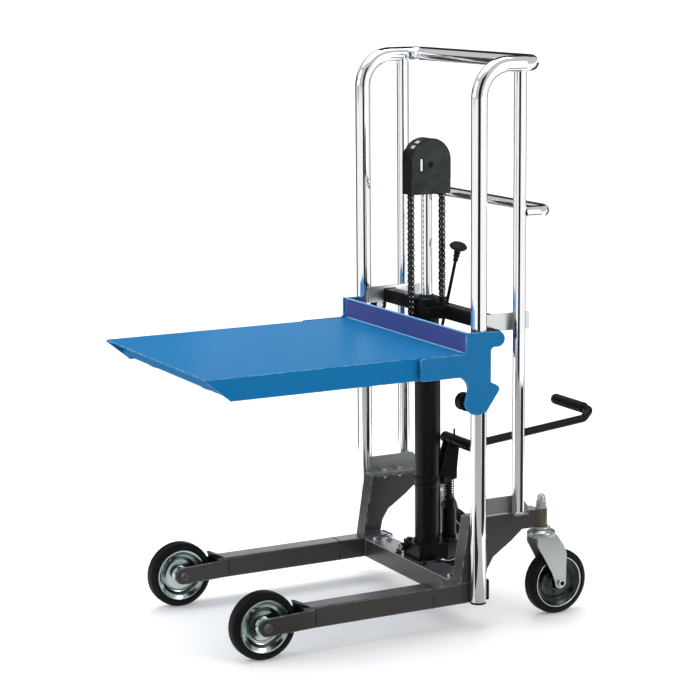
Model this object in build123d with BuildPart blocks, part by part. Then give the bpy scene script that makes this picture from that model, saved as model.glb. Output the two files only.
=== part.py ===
from build123d import *
import math
import os

# Foot-pumped mobile lift table, in millimetres, standing on its wheels at z = 0.
# The forks and the platform point to -Y, the castors and the pedal to +Y.
# Right is +X.

# Clearances
RUN_FIT = 0.05
ROLL_GAP = 0.3
SLOT_PLAY = 0.4

# Mast: one bent chromed tube, with two rear posts below it
MAST_Y = 115.5
TUBE_X = 284.0
TUBE_R = 19.0
TUBE_WALL = 2.0
MAST_TOP_Z = 1331.0
MAST_FOOT_Z = 68.0
MAST_BEND = 80.0
MAST_BACK_Y = MAST_Y + 156.0
MAST_PLAN_BEND = 42.0
POST_X = 280.0
POST_Y = MAST_Y + 112.0
POST_R = 15.0
HANDLE_Z = 987.0
HANDLE_R = 14.0
HANDLE_BACK_Y = MAST_Y + 191.0
HANDLE_BEND = 50.0

# Base: two leg arms, a welded rear frame and two gussets
WHEEL_R = 80.0
AXLE_Z = WHEEL_R
FRONT_AXLE_Y = MAST_Y - 545.0
LEG = 50.0
LEG_WALL = 3.0
STUB_L = 45.0
STUB_PLAY = 0.2
REAR_CAP = 11.0
LEG_X = TUBE_X - TUBE_R - LEG / 2
LEG_Z = 85.0
LEG_TOP = LEG_Z + LEG / 2
LEG_FRONT_Y = FRONT_AXLE_Y + WHEEL_R + 15.0
LEG_SEAM_Y = MAST_Y - 110.0
LEG_REAR_Y = MAST_Y + 31.0
CROSS_FRONT_Y = MAST_Y - 37.0
CROSS_REAR_Y = LEG_REAR_Y
CROSS_TOP = 106.0
CROSS_BOTTOM = 60.0
GUSSET_T = 5.0
GUSSET_IN = LEG_X + LEG / 2 - GUSSET_T
GUSSET_TOP = 266.0
FLANGE_W = 40.0
LINK_T = 5.0
LINK_FOOT_T = 4.0
LINK_LOW_TOP = GUSSET_TOP + 42.0
LINK_HIGH_LOW = 709.0
LINK_HIGH_TOP = LINK_HIGH_LOW + 41.0
LINK_REAR_Y = MAST_Y + 150.0

# Wheels
AXLE_R = 6.0
CHEEK_T = 5.0
RIM_HALF = 18.0
TYRE_T = 22.5
SEAT_R = WHEEL_R - TYRE_T
SEAT_HALF = 15.5
RIM_LIP = 4.5
LIP_R = SEAT_R + RIM_LIP
DISH_EDGE_R = SEAT_R - 3.5
DISH_WALL_R = SEAT_R - 13.5
DISH_FLAT_R = SEAT_R - 21.5
HUB_R = 13.0
HUB_FOOT_R = 16.0
HUB_HALF = 24.0
TYRE_HALF = 19.0
TREAD_HALF = 13.0
TYRE_WALL = WHEEL_R - LIP_R
BULGE_LOW_R = LIP_R + TYRE_WALL * 2 / 9
BULGE_HIGH_R = WHEEL_R - TYRE_WALL / 3
CASTOR_X = GUSSET_IN - 2.0
CASTOR_Y = MAST_Y + 192.0
CASTOR_TRAIL = 41.0
CASTOR_HUB_HALF = 22.0
CASTOR_CHEEK_T = 4.0
CHEEK_FOOT_R = 15.0
STEM_R = 8.0
SLEEVE_R = 14.0
SLEEVE_LOW = GUSSET_TOP - 44.0
SLEEVE_TOP = GUSSET_TOP + 1.0
CASTOR_HEAD_LOW = SLEEVE_LOW - 28.0
CASTOR_HEAD_TOP = SLEEVE_LOW - 6.5
# The left castor stands turned inward by this angle
LEFT_CASTOR_TURN = -62.6

# Lifting cylinder, ram and chain
RAM_Y = MAST_Y + 22.0
BARREL_R = 30.0
BARREL_BORE = 25.0
BARREL_LOW = 112.0
RAM_R = 14.0
RAM_LOW = 400.0
RAM_TOP = 1015.0
PISTON_R = 24.6
HEAD_R = 33.5
BEAM_FRONT_Y = MAST_Y + 46.0
BEAM_REAR_Y = MAST_Y + 78.0
BEAM_LOW = LINK_HIGH_LOW - 1.0
BEAM_TOP = LINK_HIGH_TOP - 8.0
BARREL_TOP = BEAM_TOP
HEAD_TOP = BARREL_TOP + 18.0
PULLEY_Z = RAM_TOP + 67.0
CHAIN_PITCH_R = 43.0
CHAIN_HALF_H = 6.5
CHAIN_HALF_W = 9.5
CHAIN_LOW_REAR = BEAM_TOP + 14.0
PULLEY_FLANGE_R = CHAIN_PITCH_R - 3.0
COVER_HALF_W = 23.0
COVER_T = 2.0
COVER_PLAY = 2.5
COVER_R = CHAIN_PITCH_R + CHAIN_HALF_H + COVER_PLAY + COVER_T
COVER_ARC_Z = PULLEY_Z + 9.0
COVER_LOW = RAM_TOP - 4.0

# Pump, pedal lever and release
BLOCK_LOW = CROSS_TOP
BLOCK_TOP = 146.0
PUMP_X = -12.0
PUMP_Y = MAST_Y + 91.5
PUMP_R = 18.0
PUMP_TOP = 240.0
PLUNGER_R = 8.0
YOKE_LOW = 292.0
YOKE_TOP = 322.0
YOKE_HALF_W = 9.0
PIVOT_Y = MAST_Y + 66.0
PIVOT_Z = 300.0
PIVOT_R = 5.0
CRANK_Y = MAST_Y + 94.0
CRANK_Z = 306.0
CRANK_R = 6.0
LEVER_T = 4.5
LEVER_EYE_R = 10.5
COLLAR_T = 2.5
LEVER_GAP = 2 * YOKE_HALF_W + 5.0
CROSS_TUBE_Y = MAST_Y + 100.0
CROSS_TUBE_Z = 393.0
CROSS_TUBE_R = 14.0
PEDAL_X = 85.0
PEDAL_ROD_R = 10.0
PEDAL_END_Y = MAST_Y + 452.0
PEDAL_END_Z = 446.0
GRIP_R = 14.0
ROD_Y = MAST_Y + 86.0
ROD_X = -52.0
ROD_R = 4.0
ROD_LOW_Z = 122.0
ROD_BEND_Z = 632.0
ROD_TOP = (48.0, ROD_Y - 5.5, 872.0)
VALVE_Y = MAST_Y + 55.0
VALVE_Z = 128.0
VALVE_PIN_R = 3.0

# Carriage and platform
ROLLER_GROOVE_R = 18.0
ROLLER_R = 21.4
ROLLER_HALF_W = 11.0
ROLLER_Y = TUBE_R + ROLL_GAP + ROLLER_GROOVE_R
ROLLER_AXLE_R = 6.0
SIDE_IN = TUBE_X + TUBE_R + 1.0
SIDE_T = 6.0
SIDE_BAR = 8.0
DECK_TOP = 671.0
DECK_T = 3.0
DECK_HALF = SIDE_IN - SIDE_BAR
ROLLER_HIGH_Z = DECK_TOP + 29.0
ROLLER_LOW_Z = DECK_TOP - 116.0
CHAIN_LOW_FRONT = DECK_TOP - 15.0
DECK_FRONT_Y = MAST_Y - 697.0
FLANGE_FRONT_Y = MAST_Y - 44.0
FLANGE_T = 4.0
FLANGE_TOP = DECK_TOP + 49.0
SKIRT_LOW = DECK_TOP - 53.0
SKIRT_T = 3.0
SIDE_ARM_FRONT_Y = MAST_Y - 168.0
BEAM_X = 155.0
BEAM_W = 40.0
BEAM_H = 46.0
BEAM_FRONT_END_Y = DECK_FRONT_Y + 65.0
FRONT_SKIRT_BACK = 42.0
FRONT_SKIRT_H = 36.0
SKIRT_CUT = 59.0


def bent_path(points, radii):
    """A wire through the points, with each inner corner rounded to its radius."""
    pts = [Vector(*p) for p in points]
    edges = []
    start = pts[0]
    for before, corner, after, radius in zip(pts, pts[1:], pts[2:], radii):
        into = (corner - before).normalized()
        out = (after - corner).normalized()
        half = math.radians(into.get_angle(out)) / 2
        reach = radius * math.tan(half)
        first = corner - into * reach
        last = corner + out * reach
        middle = corner + (out - into).normalized() * (radius / math.cos(half) - radius)
        edges.append(Edge.make_line(start, first))
        edges.append(Edge.make_three_point_arc(first, middle, last))
        start = last
    edges.append(Edge.make_line(start, pts[-1]))
    return Wire(edges)


def start_plane(path):
    """The plane that is square to a path at its start."""
    return Plane(origin=path @ 0, z_dir=path % 0)


os.makedirs("parts", exist_ok=True)

# Leg arms: square tubes with rounded edges, open at both ends
with BuildPart() as leg_arm_right:
    with BuildSketch(Plane.XZ.offset(-LEG_SEAM_Y)):
        with Locations((LEG_X, LEG_Z)):
            RectangleRounded(LEG, LEG, 4)
            RectangleRounded(LEG - 2 * LEG_WALL, LEG - 2 * LEG_WALL, 1.5, mode=Mode.SUBTRACT)
    extrude(amount=LEG_SEAM_Y - LEG_FRONT_Y)
with BuildPart() as leg_arm_left:
    mirror(leg_arm_right.part, about=Plane.YZ)

# Base frame: cross-member and two side members, with a stub that each leg arm slides over
with BuildPart() as base_frame:
    with BuildSketch(Plane.XZ.offset(-LEG_REAR_Y)):
        with Locations((LEG_X, LEG_Z), (-LEG_X, LEG_Z)):
            RectangleRounded(LEG, LEG, 4)
    extrude(amount=LEG_REAR_Y - LEG_SEAM_Y)
    with BuildSketch(Plane.YZ.offset(-LEG_X)):
        with Locations(((CROSS_FRONT_Y + CROSS_REAR_Y) / 2, (CROSS_TOP + CROSS_BOTTOM) / 2)):
            Rectangle(CROSS_REAR_Y - CROSS_FRONT_Y, CROSS_TOP - CROSS_BOTTOM)
    extrude(amount=2 * LEG_X)
    with BuildSketch(Plane.YZ.offset(-LEG_X + LEG / 2)):
        with Locations(((CROSS_FRONT_Y + CROSS_REAR_Y) / 2, (CROSS_TOP + CROSS_BOTTOM) / 2)):
            Rectangle(CROSS_REAR_Y - CROSS_FRONT_Y - 8, CROSS_TOP - CROSS_BOTTOM - 8)
    extrude(amount=2 * LEG_X - LEG, mode=Mode.SUBTRACT)
    with BuildSketch(Plane.XZ.offset(-LEG_REAR_Y)):
        with Locations((LEG_X, LEG_Z), (-LEG_X, LEG_Z)):
            RectangleRounded(LEG - 2 * LEG_WALL, LEG - 2 * LEG_WALL, 1.5)
    extrude(amount=LEG_REAR_Y - LEG_SEAM_Y, mode=Mode.SUBTRACT)
    with BuildSketch(Plane.XZ.offset(-LEG_SEAM_Y - STUB_L)):
        with Locations((LEG_X, LEG_Z), (-LEG_X, LEG_Z)):
            Rectangle(LEG - LEG_WALL, LEG - LEG_WALL)
            Rectangle(LEG - 4 * LEG_WALL, LEG - 4 * LEG_WALL, mode=Mode.SUBTRACT)
    extrude(amount=STUB_L)
    with BuildSketch(Plane.XZ.offset(-LEG_SEAM_Y)):
        with Locations((LEG_X, LEG_Z), (-LEG_X, LEG_Z)):
            RectangleRounded(LEG - 2 * LEG_WALL - STUB_PLAY, LEG - 2 * LEG_WALL - STUB_PLAY, 2)
            Rectangle(LEG - 4 * LEG_WALL, LEG - 4 * LEG_WALL, mode=Mode.SUBTRACT)
    extrude(amount=STUB_L)
    with BuildSketch(Plane.XY.offset(CROSS_BOTTOM - 1)):
        with Locations((-120, MAST_Y - 2), (0, MAST_Y - 2), (120, MAST_Y - 2)):
            Circle(16)
    extrude(amount=6, mode=Mode.SUBTRACT)

# Gusset: web, inward top flange, inclined front flange and the castor's sleeve
with BuildPart() as gusset_right:
    with BuildSketch(Plane.YZ.offset(GUSSET_IN)):
        with BuildLine():
            Polyline(
                (MAST_Y - 37, LEG_TOP),
                (MAST_Y - 12, GUSSET_TOP),
                (CASTOR_Y - 9, GUSSET_TOP),
                (CASTOR_Y - 9, SLEEVE_LOW),
                (MAST_Y + 134, SLEEVE_LOW),
                (MAST_Y + 104, GUSSET_TOP - 68),
                (MAST_Y + 54, GUSSET_TOP - 101),
                (MAST_Y + 37, GUSSET_TOP - 128),
                (MAST_Y + 31, LEG_TOP),
                close=True,
            )
        make_face()
    extrude(amount=GUSSET_T)
    with BuildSketch(Plane.YZ.offset(GUSSET_IN + GUSSET_T - FLANGE_W)):
        with BuildLine():
            Polyline(
                (MAST_Y - 37, LEG_TOP),
                (MAST_Y - 12, GUSSET_TOP),
                (CASTOR_Y - 9, GUSSET_TOP),
                (CASTOR_Y - 9, GUSSET_TOP - GUSSET_T),
                (MAST_Y - 12 + GUSSET_T, GUSSET_TOP - GUSSET_T),
                (MAST_Y - 37 + GUSSET_T, LEG_TOP),
                close=True,
            )
        make_face()
    extrude(amount=FLANGE_W)
    with BuildSketch(Plane.XY.offset(SLEEVE_LOW)):
        with Locations((CASTOR_X, CASTOR_Y)):
            Circle(SLEEVE_R)
    extrude(amount=SLEEVE_TOP - SLEEVE_LOW)
    with BuildSketch(Plane.XY.offset(SLEEVE_LOW)):
        with Locations((CASTOR_X, CASTOR_Y)):
            Circle(STEM_R + RUN_FIT)
    extrude(amount=SLEEVE_TOP - SLEEVE_LOW, mode=Mode.SUBTRACT)
with BuildPart() as gusset_left:
    mirror(gusset_right.part, about=Plane.YZ)

# Mast loop: up the front, back over the top, across, and down the other side
mast_path = bent_path(
    [
        (-TUBE_X, MAST_Y, MAST_FOOT_Z),
        (-TUBE_X, MAST_Y, MAST_TOP_Z),
        (-TUBE_X, MAST_BACK_Y, MAST_TOP_Z),
        (TUBE_X, MAST_BACK_Y, MAST_TOP_Z),
        (TUBE_X, MAST_Y, MAST_TOP_Z),
        (TUBE_X, MAST_Y, MAST_FOOT_Z),
    ],
    [MAST_BEND, MAST_PLAN_BEND, MAST_PLAN_BEND, MAST_BEND],
)
with BuildPart() as mast_core:
    with BuildSketch(start_plane(mast_path)):
        Circle(TUBE_R)
    sweep(path=mast_path)
with BuildPart() as mast_loop:
    add(mast_core.part)
    with BuildSketch(start_plane(mast_path)):
        Circle(TUBE_R - TUBE_WALL)
    sweep(path=mast_path, mode=Mode.SUBTRACT)

# Rear posts: coped to the loop above and standing on the lower links' feet
with BuildPart() as rear_posts:
    with BuildSketch(Plane.XY.offset(GUSSET_TOP + LINK_FOOT_T)):
        with Locations((POST_X, POST_Y)):
            Circle(POST_R)
    extrude(amount=MAST_TOP_Z - GUSSET_TOP - LINK_FOOT_T)
    add(mast_core.part, mode=Mode.SUBTRACT)
    with BuildSketch(Plane.XY.offset(GUSSET_TOP + LINK_FOOT_T)):
        with Locations((POST_X, POST_Y)):
            Circle(POST_R - TUBE_WALL)
    extrude(amount=MAST_TOP_Z - GUSSET_TOP - LINK_FOOT_T, mode=Mode.SUBTRACT)
    mirror(about=Plane.YZ)

# Rear push handle: a bent tube between the two posts
handle_path = bent_path(
    [
        (-POST_X, POST_Y, HANDLE_Z),
        (-POST_X, HANDLE_BACK_Y, HANDLE_Z),
        (POST_X, HANDLE_BACK_Y, HANDLE_Z),
        (POST_X, POST_Y, HANDLE_Z),
    ],
    [HANDLE_BEND, HANDLE_BEND],
)
with BuildPart() as rear_handle:
    with BuildSketch(start_plane(handle_path)):
        Circle(HANDLE_R)
    sweep(path=handle_path)
    with BuildSketch(start_plane(handle_path)):
        Circle(HANDLE_R - TUBE_WALL)
    sweep(path=handle_path, mode=Mode.SUBTRACT)
    with BuildSketch(Plane.XY.offset(HANDLE_Z - 2 * HANDLE_R)):
        with Locations((POST_X, POST_Y), (-POST_X, POST_Y)):
            Circle(POST_R)
    extrude(amount=4 * HANDLE_R, mode=Mode.SUBTRACT)

# Lower links: upright webs between post and tube, with a foot on the gusset
with BuildPart() as lower_links:
    with BuildSketch(Plane.YZ.offset(TUBE_X - TUBE_R - LINK_T)):
        with BuildLine():
            Polyline(
                (MAST_Y, GUSSET_TOP),
                (MAST_Y, LINK_LOW_TOP),
                (POST_Y + POST_R, LINK_LOW_TOP),
                (LINK_REAR_Y, GUSSET_TOP + 12),
                (LINK_REAR_Y, GUSSET_TOP),
                close=True,
            )
        make_face()
    extrude(amount=LINK_T)
    with BuildSketch(Plane.XY.offset(GUSSET_TOP)):
        with BuildLine():
            Polyline(
                (TUBE_X - TUBE_R - FLANGE_W + 4, MAST_Y - 8),
                (TUBE_X - TUBE_R, MAST_Y - 8),
                (TUBE_X - TUBE_R, POST_Y - POST_R - 4),
                (POST_X + POST_R + 3, POST_Y - POST_R - 4),
                (POST_X + POST_R + 3, POST_Y + POST_R + 4),
                (TUBE_X - TUBE_R, POST_Y + POST_R + 4),
                (TUBE_X - TUBE_R, LINK_REAR_Y),
                (TUBE_X - TUBE_R - FLANGE_W + 4, LINK_REAR_Y),
                close=True,
            )
        make_face()
    extrude(amount=LINK_FOOT_T)
    mirror(about=Plane.YZ)

# Upper links: bright webs at the height of the crossbeam
with BuildPart() as upper_links:
    with BuildSketch(Plane.YZ.offset(TUBE_X - TUBE_R - LINK_T)):
        with Locations(((MAST_Y + LINK_REAR_Y) / 2, (LINK_HIGH_LOW + LINK_HIGH_TOP) / 2)):
            RectangleRounded(LINK_REAR_Y - MAST_Y, LINK_HIGH_TOP - LINK_HIGH_LOW, 3)
    extrude(amount=LINK_T)
    mirror(about=Plane.YZ)

# Upper crossbeam: box section with the cylinder clamp and the rear chain anchor
with BuildPart() as upper_crossbeam:
    with BuildSketch(Plane.YZ.offset(-TUBE_X + TUBE_R + LINK_T)):
        with Locations(((BEAM_FRONT_Y + BEAM_REAR_Y) / 2, (BEAM_LOW + BEAM_TOP) / 2)):
            RectangleRounded(BEAM_REAR_Y - BEAM_FRONT_Y, BEAM_TOP - BEAM_LOW, 3)
            Rectangle(BEAM_REAR_Y - BEAM_FRONT_Y - 6, BEAM_TOP - BEAM_LOW - 6, mode=Mode.SUBTRACT)
    extrude(amount=2 * (TUBE_X - TUBE_R - LINK_T))
    with BuildSketch(Plane.XY.offset(BEAM_LOW + 3)):
        with BuildLine():
            Polyline(
                (-24, RAM_Y - 33.5),
                (24, RAM_Y - 33.5),
                (44, RAM_Y - 14),
                (60, BEAM_FRONT_Y + 4),
                (60, BEAM_REAR_Y - 3),
                (-60, BEAM_REAR_Y - 3),
                (-60, BEAM_FRONT_Y + 4),
                (-44, RAM_Y - 14),
                close=True,
            )
        make_face()
    extrude(amount=BEAM_TOP - BEAM_LOW - 6)
    with BuildSketch(Plane.XY.offset(BEAM_TOP - 3)):
        with Locations((0, RAM_Y + CHAIN_PITCH_R)):
            Rectangle(2 * CHAIN_HALF_W + 6, 2 * CHAIN_HALF_H + 1)
    extrude(amount=CHAIN_LOW_REAR - BEAM_TOP + 3)
    with BuildSketch(Plane.XY.offset(BEAM_LOW)):
        with Locations((0, RAM_Y)):
            Circle(BARREL_R + RUN_FIT)
    extrude(amount=BEAM_TOP - BEAM_LOW + 1, mode=Mode.SUBTRACT)

# Cylinder: honed barrel, and a head with the rod guide
with BuildPart() as cylinder_barrel:
    with BuildSketch(Plane.XY.offset(BARREL_LOW)):
        with Locations((0, RAM_Y)):
            Circle(BARREL_R)
            Circle(BARREL_BORE, mode=Mode.SUBTRACT)
    extrude(amount=BARREL_TOP - BARREL_LOW)
with BuildPart() as cylinder_head:
    with BuildSketch(Plane.XZ.offset(-RAM_Y)):
        with BuildLine():
            Polyline(
                (RAM_R + RUN_FIT, BARREL_TOP - 24),
                (BARREL_BORE, BARREL_TOP - 24),
                (BARREL_BORE, BARREL_TOP),
                (HEAD_R, BARREL_TOP),
                (HEAD_R, HEAD_TOP - 4),
                (HEAD_R - 4, HEAD_TOP),
                (RAM_R + 7, HEAD_TOP),
                (RAM_R + 4, HEAD_TOP + 5),
                (RAM_R + RUN_FIT, HEAD_TOP + 5),
                close=True,
            )
        make_face()
    revolve(axis=Axis((0, RAM_Y, 0), (0, 0, 1)))

# Pump block: base casting that the cylinder and the pump barrel stand in
with BuildPart() as pump_block:
    with BuildSketch(Plane.XY.offset(BLOCK_LOW)):
        with BuildLine():
            Polyline(
                (-45, MAST_Y - 22),
                (42, MAST_Y - 22),
                (42, MAST_Y + 58),
                (18, MAST_Y + 120),
                (-45, MAST_Y + 120),
                close=True,
            )
        make_face()
    extrude(amount=BLOCK_TOP - BLOCK_LOW)
    fillet(pump_block.edges().filter_by(Axis.Z), 6)
    with BuildSketch(Plane.YZ.offset(-52)):
        with Locations((VALVE_Y, VALVE_Z)):
            Circle(9)
    extrude(amount=10)
    with BuildSketch(Plane.YZ.offset(-64)):
        with Locations((VALVE_Y, VALVE_Z)):
            Circle(4)
    extrude(amount=14)
    with BuildSketch(Plane.XZ.offset(-MAST_Y + 34)):
        with Locations((-30, 130)):
            Circle(10)
    extrude(amount=-14)
    with BuildSketch(Plane.XY.offset(BARREL_LOW)):
        with Locations((0, RAM_Y)):
            Circle(BARREL_R + RUN_FIT)
    extrude(amount=BLOCK_TOP, mode=Mode.SUBTRACT)
    with BuildSketch(Plane.XY.offset(BLOCK_TOP - 26)):
        with Locations((PUMP_X, PUMP_Y)):
            Circle(PUMP_R + RUN_FIT)
    extrude(amount=60, mode=Mode.SUBTRACT)
with BuildPart() as pump_barrel:
    with BuildSketch(Plane.XY.offset(BLOCK_TOP - 26)):
        with Locations((PUMP_X, PUMP_Y)):
            Circle(PUMP_R)
    extrude(amount=PUMP_TOP - BLOCK_TOP + 26 - 18)
    with BuildSketch(Plane.XY.offset(PUMP_TOP - 18)):
        with Locations((PUMP_X, PUMP_Y)):
            RegularPolygon(PUMP_R + 2, 6)
    extrude(amount=12)
    with BuildSketch(Plane.XY.offset(PUMP_TOP - 6)):
        with Locations((PUMP_X, PUMP_Y)):
            Circle(PUMP_R - 2)
    extrude(amount=6)
    with BuildSketch(Plane.XY.offset(BLOCK_TOP - 10)):
        with Locations((PUMP_X, PUMP_Y)):
            Circle(PLUNGER_R + RUN_FIT)
    extrude(amount=PUMP_TOP, mode=Mode.SUBTRACT)

# Lever bracket: collar on the barrel, two ears, the pivot pin and the release rod's guide
with BuildPart() as lever_bracket:
    with BuildSketch(Plane.XY.offset(PIVOT_Z - 12)):
        with Locations((0, RAM_Y)):
            Circle(BARREL_R + COLLAR_T)
        with BuildLine():
            Polyline(
                (ROD_X - 9, ROD_Y + 9),
                (ROD_X - 9, ROD_Y - 12),
                (-26, RAM_Y),
                (0, RAM_Y),
                (0, RAM_Y + BARREL_R),
                (-34, RAM_Y + BARREL_R),
                (ROD_X + 9, ROD_Y - 14),
                (ROD_X + 9, ROD_Y + 9),
                close=True,
            )
        make_face()
    extrude(amount=10)
    with BuildSketch(Plane.XY.offset(PIVOT_Z - 12)):
        with Locations((0, RAM_Y)):
            Circle(BARREL_R + COLLAR_T)
        with Locations((PUMP_X, RAM_Y + (BARREL_R + COLLAR_T) / 2)):
            Rectangle(46, BARREL_R + COLLAR_T)
    extrude(amount=26)
    with BuildSketch(Plane.YZ.offset(PUMP_X - 23)):
        with BuildLine():
            Polyline(
                (RAM_Y + 20, PIVOT_Z - 12),
                (RAM_Y + 20, PIVOT_Z + 14),
                (PIVOT_Y + 4, PIVOT_Z + 14),
                (PIVOT_Y + 13, PIVOT_Z + 5),
                (PIVOT_Y + 13, PIVOT_Z - 5),
                (PIVOT_Y + 4, PIVOT_Z - 12),
                close=True,
            )
        make_face()
    extrude(amount=5)
    with BuildSketch(Plane.YZ.offset(PUMP_X + 18)):
        with BuildLine():
            Polyline(
                (RAM_Y + 20, PIVOT_Z - 12),
                (RAM_Y + 20, PIVOT_Z + 14),
                (PIVOT_Y + 4, PIVOT_Z + 14),
                (PIVOT_Y + 13, PIVOT_Z + 5),
                (PIVOT_Y + 13, PIVOT_Z - 5),
                (PIVOT_Y + 4, PIVOT_Z - 12),
                close=True,
            )
        make_face()
    extrude(amount=5)
    with BuildSketch(Plane.YZ.offset(PUMP_X - 26)):
        with Locations((PIVOT_Y, PIVOT_Z)):
            Circle(PIVOT_R)
    extrude(amount=52)
    with BuildSketch(Plane.XY.offset(PIVOT_Z - 20)):
        with Locations((0, RAM_Y)):
            Circle(BARREL_R + RUN_FIT)
        with Locations((ROD_X, ROD_Y)):
            Circle(ROD_R + RUN_FIT)
    extrude(amount=50, mode=Mode.SUBTRACT)

# Castor stems: a pin with a foot below, a collar above the bearing, and a cap nut
with BuildPart() as castor_stems:
    with BuildSketch(Plane.XZ.offset(-CASTOR_Y)):
        with BuildLine():
            Polyline(
                (CASTOR_X, CASTOR_HEAD_LOW - 6),
                (CASTOR_X + 13, CASTOR_HEAD_LOW - 6),
                (CASTOR_X + 13, CASTOR_HEAD_LOW - 1),
                (CASTOR_X + STEM_R, CASTOR_HEAD_LOW - 1),
                (CASTOR_X + STEM_R, SLEEVE_LOW - 6),
                (CASTOR_X + 22, SLEEVE_LOW - 6),
                (CASTOR_X + 22, SLEEVE_LOW),
                (CASTOR_X + STEM_R, SLEEVE_LOW),
                (CASTOR_X + STEM_R, SLEEVE_TOP),
                (CASTOR_X + 14, SLEEVE_TOP),
                (CASTOR_X + 14, SLEEVE_TOP + 3),
                (CASTOR_X + 11, SLEEVE_TOP + 3),
                (CASTOR_X + 11, SLEEVE_TOP + 20),
                (CASTOR_X + 9.5, SLEEVE_TOP + 28),
                (CASTOR_X + 5, SLEEVE_TOP + 34),
                (CASTOR_X, SLEEVE_TOP + 35),
                close=True,
            )
        make_face()
    revolve(axis=Axis((CASTOR_X, CASTOR_Y, 0), (0, 0, 1)))
    with BuildSketch(Plane.XY.offset(SLEEVE_TOP + 3)):
        with Locations((CASTOR_X, CASTOR_Y)):
            RegularPolygon(13.5, 6)
    extrude(amount=14)
    mirror(about=Plane.YZ)

# Front fork cheeks: one plate on each side of each leg arm
with BuildPart() as front_fork_right:
    with BuildSketch(Plane.YZ.offset(LEG_X + LEG / 2)):
        with BuildLine():
            Line((LEG_FRONT_Y + 26, LEG_Z - 22), (LEG_FRONT_Y + 26, LEG_Z + 21))
            Line((LEG_FRONT_Y + 26, LEG_Z + 21), (FRONT_AXLE_Y, AXLE_Z + 21))
            ThreePointArc(
                (FRONT_AXLE_Y, AXLE_Z + 21),
                (FRONT_AXLE_Y - 21, AXLE_Z),
                (FRONT_AXLE_Y, AXLE_Z - 21),
            )
            Line((FRONT_AXLE_Y, AXLE_Z - 21), (LEG_FRONT_Y + 26, LEG_Z - 22))
        make_face()
        with Locations((FRONT_AXLE_Y, AXLE_Z)):
            Circle(AXLE_R + RUN_FIT, mode=Mode.SUBTRACT)
    extrude(amount=CHEEK_T)
    mirror(about=Plane.YZ.offset(LEG_X))
with BuildPart() as front_fork_left:
    mirror(front_fork_right.part, about=Plane.YZ)

# Front axles: bolts with a round head, and a lock nut
with BuildPart() as front_axles:
    with BuildSketch(Plane.XY.offset(AXLE_Z)):
        with BuildLine():
            Polyline(
                (LEG_X - 38, FRONT_AXLE_Y),
                (LEG_X - 38, FRONT_AXLE_Y + 9),
                (LEG_X - LEG / 2 - CHEEK_T, FRONT_AXLE_Y + 10),
                (LEG_X - LEG / 2 - CHEEK_T, FRONT_AXLE_Y + AXLE_R),
                (LEG_X + LEG / 2 + CHEEK_T, FRONT_AXLE_Y + AXLE_R),
                (LEG_X + LEG / 2 + CHEEK_T, FRONT_AXLE_Y + 11),
                (LEG_X + 36, FRONT_AXLE_Y + 9),
                (LEG_X + 36, FRONT_AXLE_Y),
                close=True,
            )
        make_face()
    revolve(axis=Axis((0, FRONT_AXLE_Y, AXLE_Z), (1, 0, 0)))
    mirror(about=Plane.YZ)

# Wheel: a rim of two pressed dishes on a hub, and a solid rubber tyre
with BuildPart() as front_rim_right:
    with BuildSketch(Plane.XY.offset(AXLE_Z)):
        with BuildLine():
            Polyline(
                (LEG_X - HUB_HALF, FRONT_AXLE_Y + AXLE_R + RUN_FIT),
                (LEG_X - HUB_HALF, FRONT_AXLE_Y + HUB_R),
                (LEG_X - 9, FRONT_AXLE_Y + HUB_FOOT_R),
                (LEG_X - 5, FRONT_AXLE_Y + DISH_FLAT_R),
                (LEG_X - 6, FRONT_AXLE_Y + DISH_WALL_R),
                (LEG_X - 14, FRONT_AXLE_Y + DISH_EDGE_R),
                (LEG_X - RIM_HALF, FRONT_AXLE_Y + LIP_R),
                (LEG_X - SEAT_HALF, FRONT_AXLE_Y + LIP_R),
                (LEG_X - SEAT_HALF, FRONT_AXLE_Y + SEAT_R),
                (LEG_X + SEAT_HALF, FRONT_AXLE_Y + SEAT_R),
                (LEG_X + SEAT_HALF, FRONT_AXLE_Y + LIP_R),
                (LEG_X + RIM_HALF, FRONT_AXLE_Y + LIP_R),
                (LEG_X + 14, FRONT_AXLE_Y + DISH_EDGE_R),
                (LEG_X + 6, FRONT_AXLE_Y + DISH_WALL_R),
                (LEG_X + 5, FRONT_AXLE_Y + DISH_FLAT_R),
                (LEG_X + 9, FRONT_AXLE_Y + HUB_FOOT_R),
                (LEG_X + HUB_HALF, FRONT_AXLE_Y + HUB_R),
                (LEG_X + HUB_HALF, FRONT_AXLE_Y + AXLE_R + RUN_FIT),
                close=True,
            )
        make_face()
    revolve(axis=Axis((0, FRONT_AXLE_Y, AXLE_Z), (1, 0, 0)))
with BuildPart() as front_tyre_right:
    with BuildSketch(Plane.XY.offset(AXLE_Z)):
        with BuildLine():
            Polyline(
                (LEG_X - SEAT_HALF, FRONT_AXLE_Y + SEAT_R),
                (LEG_X - SEAT_HALF, FRONT_AXLE_Y + LIP_R),
                (LEG_X - TYRE_HALF, FRONT_AXLE_Y + BULGE_LOW_R),
                (LEG_X - TYRE_HALF, FRONT_AXLE_Y + BULGE_HIGH_R),
                (LEG_X - TREAD_HALF, FRONT_AXLE_Y + WHEEL_R),
                (LEG_X + TREAD_HALF, FRONT_AXLE_Y + WHEEL_R),
                (LEG_X + TYRE_HALF, FRONT_AXLE_Y + BULGE_HIGH_R),
                (LEG_X + TYRE_HALF, FRONT_AXLE_Y + BULGE_LOW_R),
                (LEG_X + SEAT_HALF, FRONT_AXLE_Y + LIP_R),
                (LEG_X + SEAT_HALF, FRONT_AXLE_Y + SEAT_R),
                close=True,
            )
        make_face()
    revolve(axis=Axis((0, FRONT_AXLE_Y, AXLE_Z), (1, 0, 0)))
with BuildPart() as front_rim_left:
    mirror(front_rim_right.part, about=Plane.YZ)
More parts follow.
